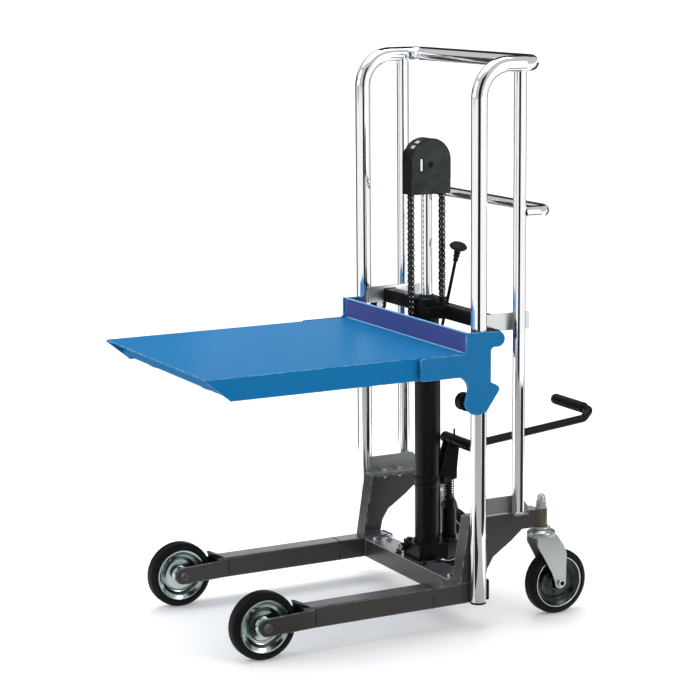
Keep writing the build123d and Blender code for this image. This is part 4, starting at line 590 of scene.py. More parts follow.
post_turn = np.linspace(0, 2 * math.pi, 48, endpoint=False)
post_rings = []
for ring_radius, shares in ((POST_R, (0, 1)), (POST_R - TUBE_WALL, (1, 0))):
    for share in shares:
        height = POST_FOOT * (1 - share) + saddle(ring_radius, post_turn) * share
        post_rings.append(around(POST_X, POST_Y, ring_radius, height, post_turn))
posts = both_sides([looped(np.stack(post_rings))])
piece("post_tubes", posts, MAST_CHROME, "base", ["rear_posts"])

handle_corners = [(POST_X, HANDLE_BACK, HANDLE_Z), (POST_X, POST_Y + POST_R - 0.001, HANDLE_Z)]
handle_line = eased([*mirrored(handle_corners)[::-1], *handle_corners], (0, 0.050, 0.050, 0), 20)
handle = [tube(handle_line, HANDLE_R, TUBE_WALL, 44)]
piece("handle_tube", handle, MAST_CHROME, "base", ["rear_handle"])

round_post = np.append(post_turn, 0)
a = np.linspace(0, 2 * math.pi, 40)
handle_joint = np.column_stack([
    POST_X + HANDLE_R * np.sin(a),
    POST_Y + np.sqrt(POST_R**2 - (HANDLE_R * np.sin(a)) ** 2) + 0.0004,
    HANDLE_Z + HANDLE_R * np.cos(a),
])
post_joint = around(POST_X, POST_Y, POST_R + 0.0004, saddle(POST_R, round_post), round_post)
chrome_beads = [
    weld_bead(post_joint, 0.0013),
    weld_bead(handle_joint, 0.0012),
    weld_bead(around(POST_X, POST_Y, 0.0154, 0.2708, round_post), 0.0013),
]
piece("chrome_welds", both_sides(chrome_beads), MAST_CHROME, "base")


# Links between mast and posts: upright webs of bright zinc-plated strip. The upper ones
# hold the crossbeam, the lower ones stand on the gussets and are bolted down to them.
BRIGHT_ZINC = coated_steel(
    "zinc_plate", (0.52, 0.54, 0.55), (0.66, 0.68, 0.68), (0.80, 0.81, 0.82),
    (0.24, 0.40), 0.05, metallic=0.9, wear_and_highlight=0.25, dust_and_sheen_amount=0.06, peel_scale=700.0,
)
GREY_ZINC = coated_steel(
    "grey_zinc_plate", (0.20, 0.215, 0.21), (0.30, 0.315, 0.31), (0.62, 0.63, 0.63),
    (0.34, 0.5), 0.06, metallic=0.75, wear_and_highlight=0.7, dust_and_sheen_amount=0.12, peel_scale=700.0,
)
BOLT_STEEL = metal(
    "bolt_steel", (0.46, 0.49, 0.56), (0.66, 0.69, 0.76), (0.14, 0.28), 90.0, smut=0.35
)
LINK_BOLT_X = 0.2445
finish_nodes(BRIGHT_ZINC, "upper_links", ease=0.0005)
finish_nodes(GREY_ZINC, "lower_links", ease=0.0005)


def slab(outline, low, high, ease, place):
    """An outline carried from low to high. Each rim is drawn in by ease along the mean of
    its two edges' normals; place turns (u, v, w) rows into points of the object."""
    outline = np.asarray(outline, float)
    edge = np.roll(outline, -1, 0) - outline
    length = np.maximum(np.linalg.norm(edge, axis=1), 1e-9)
    normal = np.stack([edge[:, 1], -edge[:, 0]], 1) / length[:, None]
    normal = normal + np.roll(normal, 1, 0)
    normal /= np.maximum(np.linalg.norm(normal, axis=1), 1e-9)[:, None]
    u, v = outline.T
    area = np.sum(u * np.roll(v, -1) - np.roll(u, -1) * v)
    drawn = outline - normal * ease * (1 if area > 0 else -1)
    levels = ((drawn, low), (outline, low + ease), (outline, high - ease), (drawn, high))
    sides = len(outline)
    rings = np.stack([np.column_stack([rim, np.full(sides, level)]) for rim, level in levels])
    ends = np.stack([np.arange(sides)[::-1], 3 * sides + np.arange(sides)])
    return place(rings.reshape(-1, 3)), [quads(4, sides, wrap_cols=True), ends]


def nut(radius, low, high, ease, place, turned_by=0.0):
    """A hexagon of that corner radius carried from low to high."""
    a = np.arange(6) * math.pi / 3 + turned_by
    return slab(np.stack([np.cos(a), np.sin(a)], 1) * radius, low, high, ease, place)


def turned(profile, centre, axis="x", sides=64):
    """A profile of (along, radius) pairs carried round an axis through centre. A profile
    that starts and ends on the axis closes there; any other is a closed loop."""
    profile, centre = np.asarray(profile, float), np.asarray(centre, float)
    a = np.linspace(0, 2 * math.pi, sides, endpoint=False)
    on_axis = profile[0, 1] < 1e-9 and profile[-1, 1] < 1e-9
    body = profile[1:-1] if on_axis else profile
    along = np.repeat(body[:, :1], sides, 1)
    one, other = body[:, 1:] * np.cos(a), body[:, 1:] * np.sin(a)
    rings = np.stack((along, one, other) if axis == "x" else (one, other, along), 2) + centre
    if not on_axis:
        return looped(rings)
    points, faces = capped(rings)
    tips = [(end, 0, 0) if axis == "x" else (0, 0, end) for end in profile[[0, -1], 0]]
    points[-2:] = np.asarray(tips) + centre
    return points, faces


def rod(low, high, radius, centre, axis="x", sides=32):
    """A plain round bar from low to high along an axis through centre."""
    return turned([(low, 0), (low, radius), (high, radius), (high, 0)], centre, axis, sides)


def upright(x, y, z):
    """Places (u, v, w) rows with w up, starting at a point."""
    return lambda rows: rows + (x, y, z)


def hex_bolt(x, y, z, size, height):
    """A hexagon head with a washer face below and a domed, chamfered top, standing on z."""
    wide = size * 0.78
    washer = [(0, 0), (0, wide), (0.0012, wide), (0.0016, size * 0.74), (0.0016, 0)]
    crown = [(0, 0), (0, size * 0.45), (0.0012, size * 0.38), (0.0014, 0)]
    return [
        turned(washer, (x, y, z), "z", 28),
        nut(size * 0.60, 0, height - 0.0016, 0.0006, upright(x, y, z + 0.0016), 0.4),
        turned(eased(crown, (0, 0.0004, 0.0003, 0), 4), (x, y, z + height), "z", 24),
    ]


def sideways(x, y, z):
    """Places (u, v, w) rows with w along X, starting at a point."""
    return lambda rows: rows[:, [2, 0, 1]] + (x, y, z)


def box_outline(half_u, half_v, corner, steps):
    """A rectangle about the middle with rounded corners."""
    signs = ((-1, -1), (1, -1), (1, 1), (-1, 1))
    return eased([(half_u * u, half_v * v) for u, v in signs], corner, steps, closed=True)


link_bolts = []
for bolt_y in (MAST_Y + 0.034, MAST_Y + 0.078):
    link_bolts += hex_bolt(LINK_BOLT_X, bolt_y, 0.270, 0.0085, 0.0065)
    link_bolts += [
        nut(0.0055, 0, 0.0055, 0.0005, upright(LINK_BOLT_X, bolt_y, 0.2555), 0.1),
        rod(0, 0.004, 0.0032, (LINK_BOLT_X, bolt_y, 0.2515), "z", 16),
    ]
piece("link_bolts", both_sides(link_bolts), BOLT_STEEL, "base")

foot_place = sideways(0.2655, MAST_Y + 0.058, 0.2683)
foot = slab(box_outline(0.036, 0.0020, 0.0008, 3), 0, 0.0052, 0.0004, foot_place)
piece("link_foot_strips", both_sides([foot]), BRIGHT_ZINC, "base")


# Bolts of the rear frame: zinc-plated hexagon heads with a pressed washer face. Those
# that hold the pump block are dark with its oil.
OILED_BOLT = metal(
    "oiled_bolt_steel", (0.03, 0.03, 0.032), (0.07, 0.07, 0.075), (0.22, 0.36), 90.0, smut=0.35
)
bolt_places = ((0.062, -0.024), (0.062, 0.020), (0.190, -0.022), (0.190, 0.018))
base_bolts = [hex_bolt(x, MAST_Y + y, CROSS_TOP, 0.0118, 0.0090) for x, y in bolt_places]
frame_bolts = both_sides(base_bolts[2] + base_bolts[3])
piece("frame_bolts", frame_bolts, BOLT_STEEL, "base", ["base_bolts"])
pump_bolts = both_sides(base_bolts[0] + base_bolts[1])
piece("pump_bolts", pump_bolts, OILED_BOLT, "base")


# Joints of the frame: each leg tube is pushed over a stub of the rear frame and the
# cheeks lie on the tube. A thin near-black line along these joints is painted shade
# in them, and a light grey bar along the cross-member's front edge is a painted highlight.
LEG_LOW, LEG_SEAM_Y = 0.060, MAST_Y - 0.110
CHEEK_REAR_Y, CHEEK_OUTER, CHEEK_INNER = -0.3085, 0.2694, 0.2106
HIGHLIGHT_Y, HIGHLIGHT_Z, HIGHLIGHT_HALF = MAST_Y - 0.0365, 0.1055, 0.214
# Near-black for the joint lines: painted shade.
JOINT_SHADE = metal("painted_joint_shade", (0.008, 0.008, 0.008), (0.016, 0.015, 0.015), (0.5, 0.7), 60.0)
# Light grey for the cross-member's front edge: a painted highlight.
EDGE_HIGHLIGHT_PAINT = coated_steel(
    "painted_edge_highlight", (0.20, 0.22, 0.21), (0.34, 0.37, 0.35), (0.5, 0.5, 0.5),
    (0.25, 0.4), 0.1, coat=0.2, wear_and_highlight=0.3,
)
leg_corners = ((LEG_IN, LEG_LOW), (LEG_OUT, LEG_LOW), (LEG_OUT, LEG_TOP), (LEG_IN, LEG_TOP))
seam_line = eased([(x, LEG_SEAM_Y, z) for x, z in leg_corners], 0.004, 6, closed=True)
seam = capped(rings_on(np.concatenate([seam_line, seam_line[:2]]), 0.0010, 10))
piece("leg_seams", both_sides([seam]), JOINT_SHADE, "base")
cheek_seams = []
for x in (CHEEK_OUTER, CHEEK_INNER):
    cheek_line = [(x, CHEEK_REAR_Y, z) for z in (0.064, 0.085, 0.1055)]
    cheek_seams.append(capped(rings_on(cheek_line, 0.0012, 10)))
piece("cheek_seams", both_sides(cheek_seams), JOINT_SHADE, "base")
highlight_line = [(x, HIGHLIGHT_Y, HIGHLIGHT_Z) for x in (-HIGHLIGHT_HALF, 0, HIGHLIGHT_HALF)]
highlight_bar = [capped(rings_on(highlight_line, 0.0012, 12))]
piece("crossmember_edge_highlight", highlight_bar, EDGE_HIGHLIGHT_PAINT, "base")


# Plastic plugs: black moulded caps in the ends of the leg tubes, mast and under-beams.
# The front ones carry a small wedge that scrapes the tyre.
def moulded(name, dark, light, rough, grain, scale=900.0, shine=0.12):
    """Plastic or rubber: two close greys, a fine moulded grain as bump, and thin dust."""
    material, tree, shader = node_material(name)
    texture = use_group(tree, FINE_GRAIN, scale, 9.0)
    dust_and_sheen_mask = use_group(tree, DUST_AND_SHEEN, 0.05, 16.0)["Mask"]
    colour = mixed(tree, texture["Tone"], [dark] * 3, [light] * 3)
    plug(tree, shader, {
        "Base Color": mixed(tree, dust_and_sheen_mask, colour, (0.30, 0.29, 0.28)),
        "Roughness": spread(tree, texture["Tone"], end=rough),
        "Specular IOR Level": shine,
        "Normal": bump(tree, texture["Height"], grain, 0.0005),
    })
    return material


BLACK_PLASTIC = moulded("black_plastic_moulding", 0.004, 0.008, (0.38, 0.55), 0.15)
finish_nodes(BLACK_PLASTIC, "tube_plugs", "beam_plugs", ease=0.0006)


# Front wheels: solid black rubber tyres with three shallow tread grooves, pressed on
# rims made of two bright dishes with a rolled lip, turning on a bolt through the fork.
TYRE_RUBBER = moulded("tyre_rubber_solid", 0.003, 0.006, (0.42, 0.62), 0.30, 500.0)
RIM_ZINC = metal(
    "rim_zinc_plate", (0.42, 0.51, 0.495), (0.60, 0.69, 0.67), (0.10, 0.22), 26.0, smut=0.20
)
WHEEL_R = AXLE_Z = 0.080
SEAT_R, BORE_R, GROOVE = 0.0575, 0.00605, 0.0011
LEG_X, FRONT_AXLE_Y = 0.240, MAST_Y - 0.545
ROUND_CREASE = 50


def tyre_profile(half, seat_half):
    """Half of a solid tyre's section from the seat out to the middle of the tread, then
    mirrored: bead, bulged wall with a ridge, rounded shoulder, and grooved tread."""
    floor_r = WHEEL_R - GROOVE
    wall = [(seat_half, SEAT_R), (seat_half, 0.0622), (half - 0.0012, 0.0648)]
    ridge = [(half, 0.0664), (half, 0.0680), (half - 0.0005, 0.0686), (half - 0.0005, 0.0715)]
    crown = [(half - 0.0062, WHEEL_R - 0.0006), (0.0098, WHEEL_R - 0.0002)]
    outer_cut = [(0.0094, floor_r), (0.0080, floor_r), (0.0076, WHEEL_R)]
    inner_cut = [(0.0011, WHEEL_R), (0.0007, floor_r), (0, floor_r)]
    radii = (0, 0.0008, 0.0012, 0.0006, 0.0005, 0.0003, 0.0045, 0.004, *[0.0002] * 6, 0)
    right = eased(wall + ridge + crown + outer_cut + inner_cut, radii, 5)
    return np.concatenate([right, right[:-1][::-1] * (-1, 1)])


def rim_profile(half, hub_half, hub_in, depth):
    """A rim's section as a closed loop: hub, dish, rolled lip and seat, on both sides."""
    right = [
        (hub_half, BORE_R),
        (hub_half, 0.0126),
        (hub_in + 0.002, 0.0150),
        (depth + 0.001, 0.0200),
        (depth, 0.0360),
        (depth + 0.0014, 0.0435),
        (half - 0.0050, 0.0515),
        (half - 0.0012, 0.0585),
        (half - 0.0004, 0.0610),
        (half - 0.0004, 0.0619),
        (half - 0.0022, 0.0619),
        (half - 0.0025, SEAT_R),
        (0, SEAT_R),
    ]
    radii = (0, 0.0012, 0.005, 0.004, 0.012, 0.008, 0.006, 0.0012, 0.0007, 0.0007, 0.0003, 0, 0)
    right = eased(right, radii, 6)[:-1]
    return np.concatenate([right, right[::-1] * (-1, 1)])


for side_name, sx in (("right", 1), ("left", -1)):
    middle = (sx * LEG_X, FRONT_AXLE_Y, AXLE_Z)
    wheel = f"front_wheel_{side_name}"
    tyre = [turned(tyre_profile(0.0190, 0.0155), middle, "x", 96)]
    piece(
        f"front_tyre_rubber_{side_name}", tyre, TYRE_RUBBER, wheel,
        [f"front_tyre_{side_name}"], ROUND_CREASE,
    )
    rim = [turned(rim_profile(0.0180, 0.0239, 0.009, 0.0050), middle, "x", 96)]
    piece(
        f"front_rim_dish_{side_name}", rim, RIM_ZINC, wheel,
        [f"front_rim_{side_name}"], ROUND_CREASE,
    )


# Front axle bolts: each runs through both cheeks, with a round head outside and a lock
# nut on a washer inside, and was painted with the frame.
head = eased(
    [(0.030, 0), (0.030, 0.0110), (0.0352, 0.0106), (0.036, 0.0060), (0.0348, 0.0042), (0.0348, 0)],
    (0, 0.0004, 0.0012, 0.0006, 0.0006, 0),
    5,
)
front_axle = (0, FRONT_AXLE_Y, AXLE_Z)
axle_parts = [
    turned(head + (LEG_X, 0), front_axle, "x", 48),
    rod(LEG_X - 0.0345, LEG_X + 0.031, 0.0060, front_axle, "x", 40),
    rod(0, 0.0014, 0.0100, (LEG_X - 0.0314, FRONT_AXLE_Y, AXLE_Z)),
    nut(0.0092, -0.0376, -0.0312, 0.0006, sideways(LEG_X, FRONT_AXLE_Y, AXLE_Z)),
]
front_bolts = both_sides(axle_parts)
piece("front_axle_bolts", front_bolts, FRAME_PAINT, "base", ["front_axles"])


# Rear castors: a pressed, zinc-plated fork on a ball race, swivelling on a stem with a
# domed cap nut. The wheel has a riveted pressed zinc rim, whose dish is near black as a
# painted dark reflection, and a solid black rubber tyre.
CASTOR_X, CASTOR_Y, CASTOR_TRAIL = 0.258, MAST_Y + 0.192, 0.041
CASTOR_TURN = {"right": 0.0, "left": math.radians(-62.6)}
PRESSED_CREASE = 40
CASTOR_ZINC = coated_steel(
    "castor_zinc_plate", (0.33, 0.365, 0.355), (0.54, 0.57, 0.555), (0.78, 0.80, 0.78),
    (0.22, 0.40), 0.10, metallic=0.85, wear_and_highlight=0.7, dust_and_sheen_amount=0.10, peel_scale=600.0,
)
# The dish's near-black tone is a painted dark reflection on zinc.
CASTOR_RIM_DARK_REFLECTION = metal(
    "castor_rim_painted_dark_reflection", (0.022, 0.026, 0.025), (0.060, 0.068, 0.066), (0.18, 0.32), smut=0.2
)
HUB = (0, CASTOR_TRAIL, AXLE_Z)


def swivelled(solids, side_name):
    """Solids made about a castor's stem at the origin, turned and moved to their side."""
    turn = CASTOR_TURN[side_name]
    cos, sin = math.cos(turn), math.sin(turn)
    spin = np.array([[cos, sin, 0], [-sin, cos, 0], [0, 0, 1]])
    shift = np.array([CASTOR_X if side_name == "right" else -CASTOR_X, CASTOR_Y, 0])
    return [(np.asarray(points) @ spin + shift, faces) for points, faces in solids]


def rivets(count, ring, radius, height, centre, sx):
    """Small domes in a ring on a wheel's face: turned profiles spread round the X axis."""
    dome = [(0, 0), (0, radius), (height * 0.5, radius * 0.86), (height, radius * 0.4), (height, 0)]
    points, faces = turned(dome, (0, 0, 0), "x", 14)
    found = []
    for angle in np.arange(count) * 2 * math.pi / count + 0.3:
        offset = (0, ring * math.cos(angle), ring * math.sin(angle))
        found.append((points * (sx, 1, 1) + (np.array(centre) + offset), faces))
    return found


def fork_shell(thick):
    """A pressed fork: the head is a dish about the stem, and each cheek is a plate whose
    outline is closed and runs down to a round foot about the axle."""
    head = [
        (0.1943, 0.00805), (0.1943, 0.0220), (0.1990, 0.0340), (0.2050, 0.0350),
        (0.2100, 0.0330), (0.2155, 0.0240), (0.2155, 0.00805),
    ]
    solids = [turned(eased(head, (0, 0.003, 0.004, 0.005, 0.003, 0.002, 0), 6), (0, 0, 0), "z", 72)]
    a = np.linspace(0, -math.pi, 20)
    foot = np.column_stack([CASTOR_TRAIL + 0.015 * np.cos(a), AXLE_Z + 0.015 * np.sin(a)])
    front = [(0.018, 0.104), (-0.026, 0.182), (-0.024, 0.206)]
    back = [(0.026, 0.206), (0.050, 0.172), (0.058, 0.150)]
    radii = (*[0] * 20, 0.05, 0.012, 0.008, 0.02, 0.03, 0.02)
    outline = eased([*foot, *front, *back], radii, 8, closed=True)
    for sx in (1, -1):
        place = lambda rows, sx=sx: np.stack([rows[:, 2] * sx, rows[:, 0], rows[:, 1]], 1)
        solids.append(slab(outline, 0.022, 0.022 + thick, 0.0009, place))
    return solids


castor_tyre = [turned(tyre_profile(0.0180, 0.0145), HUB, "x", 96)]
castor_rim = [turned(rim_profile(0.0170, 0.0213, 0.008, 0.0040), HUB, "x", 96)]
for sx in (1, -1):
    castor_rim += rivets(6, 0.0285, 0.0042, 0.0024, (sx * 0.0042, CASTOR_TRAIL, AXLE_Z), sx)
lip = [(0.0150, 0.0590), (0.0172, 0.0606), (0.0174, 0.0622), (0.0160, 0.0622), (0.0150, 0.0605)]
castor_lips = [turned(np.array(lip) * (sx, 1), HUB, "x", 96) for sx in (1, -1)]
castor_bolt = [
    rod(-0.0262, 0.0262, 0.006, HUB, "x", 40),
    nut(0.0098, 0.0275, 0.0328, 0.0006, sideways(*HUB), 0.2),
    rod(0.0261, 0.0274, 0.0098, HUB),
    nut(0.0092, -0.0318, -0.0262, 0.0006, sideways(*HUB), 0.5),
    turned([(-0.0338, 0), (-0.0338, 0.0050), (-0.0318, 0.0055), (-0.0318, 0)], HUB, "x", 32),
]
bolt_mark = [rod(0.0329, 0.0332, 0.0060, HUB)]
castor_pieces = (
    ("tyre_rubber", castor_tyre, TYRE_RUBBER, "tyre_rubber", "tyre", ROUND_CREASE),
    ("rim_lip", castor_lips, RIM_ZINC, "rim_zinc", None, CREASE),
    ("rim_dish", castor_rim, CASTOR_RIM_DARK_REFLECTION, "rim_zinc", "rim", ROUND_CREASE),
    ("bolt_mark", bolt_mark, BLACK_PLASTIC, "black_plastic", None, CREASE),
    ("bolt", castor_bolt, BOLT_STEEL, "bright_zinc", "axle", CREASE),
)
yoke = ("yoke", fork_shell(0.004), CASTOR_ZINC, "bright_zinc", "fork", PRESSED_CREASE)
for group in (castor_pieces, (yoke,)):
    for side_name in ("right", "left"):
        for part, solids, material, slot, node, crease in group:
            body = "castor_wheel" if material in (TYRE_RUBBER, RIM_ZINC, CASTOR_RIM_DARK_REFLECTION) else "castor"
            stands_for = [f"castor_{node}_{side_name}"] if node else ()
            piece(
                f"castor_{part}_{side_name}", swivelled(solids, side_name), material,
                f"{body}_{side_name}", stands_for, crease,
            )


# Castor stems: a race washer over the fork, the pin through the frame's sleeve, a washer
# and a domed cap nut on top, and the riveted foot below the fork. The sleeve's outside
# is left with a thin olive primer.
STEM = (CASTOR_X, CASTOR_Y, 0)
SLEEVE_PAINT = coated_steel(
    "sleeve_paint", (0.050, 0.040, 0.026), (0.095, 0.078, 0.052), (0.40, 0.38, 0.33),
    (0.22, 0.36), 0.12, coat=0.2, wear_and_highlight=0.8, dust_and_sheen_amount=0.1, shine=0.4,
)
race = [(0.216, 0), (0.216, 0.022), (0.219, 0.0232), (0.2218, 0.0215), (0.2218, 0)]
foot = [(0.188, 0), (0.188, 0.0125), (0.193, 0.013), (0.193, 0)]
washer = [(0.2671, 0), (0.2671, 0.0145), (0.2698, 0.0145), (0.2698, 0)]
cap = [(0.2838, 0.0106), (0.2872, 0.0112), (0.2960, 0.0092), (0.3012, 0.0048), (0.3020, 0)]
stem_parts = [
    turned(eased(race, (0, 0.0008, 0.001, 0.0008, 0), 5), STEM, "z", 56),
    rod(0.193, 0.267, 0.0079, STEM, "z", 40),
    turned(eased(foot, (0, 0.0012, 0.0008, 0), 5), STEM, "z", 40),
    turned(eased(washer, (0, 0.0005, 0.0005, 0), 4), STEM, "z", 48),
    nut(0.0135, 0.2698, 0.2840, 0.0008, upright(*STEM), 0.3),
    turned([(0.2836, 0), *eased(cap, (0, 0.001, 0.006, 0.004, 0), 6)], STEM, "z", 48),
]
stems = both_sides(stem_parts)
piece("castor_stem_nuts", stems, BRIGHT_ZINC, "base", ["castor_stems"])
shell = [(0.2225, 0.0139), (0.2225, 0.0146), (0.2664, 0.0146), (0.2664, 0.0139)]
sleeves = both_sides([turned(eased(shell, (0, 0.0004, 0.0004, 0), 4), STEM, "z", 56)])
piece("castor_sleeve_shells", sleeves, SLEEVE_PAINT, "base")


# Lifting cylinder: a black painted barrel with a screwed head and a chromed rod, held by
# the crossbeam's clamp. The pump block, pump and brackets are painted black with it.
BLACK_PAINT = coated_steel(
    "black_paint_coat", (0.003, 0.003, 0.003), (0.007, 0.007, 0.007), (0.10, 0.10, 0.10),
    (0.24, 0.38), 0.16, wear_and_highlight=0.4, dust_and_sheen_amount=0.02, shine=0.14,
)
GREASED_STEEL = metal(
    "greased_steel_plunger", (0.05, 0.05, 0.05), (0.10, 0.10, 0.10), (0.2, 0.34)
)
ROD_CHROME = metal(
    "rod_chrome_plate", (0.80, 0.80, 0.81), (0.87, 0.87, 0.88), (0.05, 0.10),
    brushed=(6.0, 6.0, 700.0),
)
RAM_Y = MAST_Y + 0.022
BARREL_FOOT_R, BARREL_FOOT_Z = 0.0308, 0.1470
finish_nodes(
    BLACK_PAINT, "cylinder_barrel", "cylinder_head", "pump_barrel", "pedal_lever", "release_rod"
)
black_plates = ("upper_crossbeam", "pump_block", "lever_bracket", "valve_arm", "pulley_fork")
finish_nodes(BLACK_PAINT, *black_plates, ease=0.0008)
finish_nodes(ROD_CHROME, "piston_rod")
finish_nodes(GREASED_STEEL, "pump_plunger")

# The weld ring at the barrel's foot, the wiper ring on the screwed head, and the weld
# runs round the crossbeam's two ends.
ring_turn = np.linspace(0, 2 * math.pi, 61)
barrel_foot = around(0, RAM_Y, BARREL_FOOT_R, BARREL_FOOT_Z, ring_turn)
wiper = [(0.7600, 0.0142), (0.7600, 0.0205), (0.7632, 0.0198), (0.7640, 0.0150), (0.7640, 0.0142)]
cylinder_trim = [
    weld_bead(barrel_foot, 0.0022),
    turned(eased(wiper, (0, 0.0006, 0.001, 0.0004, 0), 4), (0, RAM_Y, 0), "z", 48),
]
beam_end = ((0.046, 0.709), (0.046, 0.742), (0.078, 0.742), (0.078, 0.709))
for bead_x in (0.260, -0.260):
    cylinder_trim.append(weld_bead([(bead_x, MAST_Y + y, z) for y, z in beam_end], 0.0018))
piece("cylinder_trim", cylinder_trim, BLACK_PAINT, "base")


# Small fasteners of the lift: pivot pin nuts on the lever bracket, the chain's clevis
# pin at the crossbeam, and the hexagon plugs of the pump block's oil passages. All but
# one plug are dark with oil.
PIVOT = (-0.012, MAST_Y + 0.066, 0.300)


def across(x, y, z):
    """Places (u, v, w) rows with w towards the front, starting at a point."""
    return lambda rows: rows[:, [0, 2, 1]] * (1, -1, 1) + (x, y, z)


clevis_pin = [
    (-0.0165, 0), (-0.0165, 0.0042), (-0.0145, 0.0050), (-0.0128, 0.0050), (-0.0128, 0.0030),
    (0.0150, 0.0030), (0.0150, 0),
]
oiled_fasteners = [
    nut(0.0085, 0.0262, 0.0325, 0.0006, sideways(*PIVOT), 0.2),
    nut(0.0085, -0.0325, -0.0262, 0.0006, sideways(*PIVOT), 0.6),
    turned(clevis_pin, (0, MAST_Y + 0.065, 0.7495), "x", 28),
    nut(0.0070, 0, 0.0060, 0.0006, upright(-0.033, MAST_Y + 0.072, 0.146), 0.4),
    nut(0.0070, 0, 0.0060, 0.0006, upright(0.028, MAST_Y + 0.068, 0.146), 0.1),
    nut(0.0075, 0, 0.0050, 0.0006, upright(-0.033, MAST_Y - 0.010, 0.146), 0.5),
]
bright_plug = [nut(0.0082, 0, 0.0060, 0.0007, across(-0.030, MAST_Y - 0.0340, 0.130), 0.1)]
piece("lift_fasteners", bright_plug, BOLT_STEEL, "base")
piece("oiled_fasteners", oiled_fasteners, OILED_BOLT, "base")


# Return spring: wound round wire between the pump barrel and the plunger's yoke, with
# its end turns closed; it is dark oiled spring steel.
SPRING_STEEL = metal(
    "spring_steel_wire", (0.020, 0.020, 0.020), (0.050, 0.048, 0.046), (0.28, 0.42), 60.0
)
PUMP_X, PUMP_Y = -0.012, MAST_Y + 0.0915
WIRE_R, COIL_R = 0.0013, 0.0126
SPRING_LOW, SPRING_HIGH, SPRING_TURNS = 0.240, 0.292, 9
coil = np.linspace(0, 1, SPRING_TURNS * 28)
# The height runs slowly over the first and last tenth, where the turns lie closed.
rise = np.interp(coil, (0, 0.1, 0.9, 1), (0, 0.045, 0.955, 1))
rise = SPRING_LOW + WIRE_R + rise * (SPRING_HIGH - SPRING_LOW - 2 * WIRE_R)
spring_line = around(PUMP_X, PUMP_Y, COIL_R, rise, coil * SPRING_TURNS * 2 * math.pi)
wire = [capped(rings_on(spring_line, WIRE_R, 12, (0, 0, 1)))]
spring = piece("spring_coil", wire, SPRING_STEEL, None, ["return_spring"])
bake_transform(spring)


# Lifting chain: half-inch roller chain, one end at the crossbeam, over the pulley, the
# other at the platform's lug. Plates are blackened steel; pins and rollers are brighter.
CHAIN_BLACK = metal(
    "chain_plate_steel", (0.020, 0.020, 0.021), (0.045, 0.044, 0.043), (0.26, 0.42), 120.0
)
CHAIN_PIN = metal(
    "chain_pin_steel", (0.50, 0.50, 0.48), (0.74, 0.73, 0.70), (0.16, 0.28), 120.0
)
CHAIN_R, PULLEY_Z, PITCH = 0.043, 1.082, 0.0127
CHAIN_REAR_LOW, CHAIN_FRONT_LOW = 0.756, 0.656
FIRST_PIN, LAST_GAP = 0.0062, 0.004
PIN_REACH, BUSH_REACH, BUSH_R = 0.0094, 0.0044, 0.0041
rear_length, bend_length = PULLEY_Z - CHAIN_REAR_LOW, math.pi * CHAIN_R
chain_length = rear_length + bend_length + PULLEY_Z - CHAIN_FRONT_LOW


def chain_place(s):
    """A point (y, z) of the chain's line: up the rear run, round the pulley, down in front."""
    s = np.asarray(s, float)
    turn = np.clip((s - rear_length) / CHAIN_R, 0, math.pi)
    below = np.minimum(s - rear_length, 0)
    past = np.maximum(s - rear_length - bend_length, 0)
    y = RAM_Y + CHAIN_R * np.cos(turn)
    return np.stack([y, PULLEY_Z + CHAIN_R * np.sin(turn) + below - past], -1)


def figure_eight(pitch, end, waist):
    """A link plate's outline: two round ends about the pins, drawn in at the waist."""
    a = np.radians(np.linspace(58, 302, 9))
    left = np.stack([end * np.cos(a), end * np.sin(a)], 1)
    return np.concatenate([left, [(pitch / 2, -waist)], (pitch, 0) - left, [(pitch / 2, waist)]])


plate = figure_eight(PITCH, 0.0058, 0.0042)
pin_shape = [
    (-PIN_REACH, 0), (-PIN_REACH, 0.0014), (-0.0090, 0.0021),
    (0.0090, 0.0021), (PIN_REACH, 0.0014), (PIN_REACH, 0),
]
pin_s = np.arange(FIRST_PIN, chain_length - LAST_GAP, PITCH)
pins = chain_place(pin_s)
runs = {"rear": ([], []), "bend": ([], []), "front": ([], [])}
for k, (here, s) in enumerate(zip(pins, pin_s)):
    run = "rear" if s < rear_length else "bend" if s < rear_length + bend_length else "front"
    plates, bars = runs[run]
    centre = (0, here[0], here[1])
    bars.append(turned(pin_shape, centre, "x", 12))
    bars.append(rod(-BUSH_REACH, BUSH_REACH, BUSH_R, centre, "x", 14))
    if k + 1 == len(pins):
        continue
    along = (pins[k + 1] - here) / np.linalg.norm(pins[k + 1] - here)
    # Outer and inner pairs of plates take turns along the chain.
    inner, outer = (0.0068, 0.0083) if k % 2 else (0.0050, 0.0065)
    for sx in (1, -1):
        place = lambda rows, sx=sx: np.stack([
            sx * rows[:, 2],
            here[0] + rows[:, 0] * along[0] - rows[:, 1] * along[1],
            here[1] + rows[:, 0] * along[1] + rows[:, 1] * along[0],
        ], 1)
        plates.append(slab(plate, inner, outer, 0.0002, place))
for run, (plates, bars) in runs.items():
    node = "chain_bend" if run == "bend" else f"chain_{run}_run"
    body = "ram" if run == "bend" else None
    links = piece(f"chain_links_{run}", plates, CHAIN_BLACK, body, [node])
    rollers = piece(f"chain_pins_{run}", bars, CHAIN_PIN, body)
    for thing in (links, rollers):
        if run == "rear":
            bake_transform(thing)
        if run == "front":
            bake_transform(thing)


# Pulley and its cover: a steel chain pulley on a pin in the ram's fork, inside a pressed
# case. The case's flat faces carry a grey-green crackle finish, its rim is black.
COVER_R, COVER_ARC_Z, COVER_FACE = 0.054, 1.091, 0.023


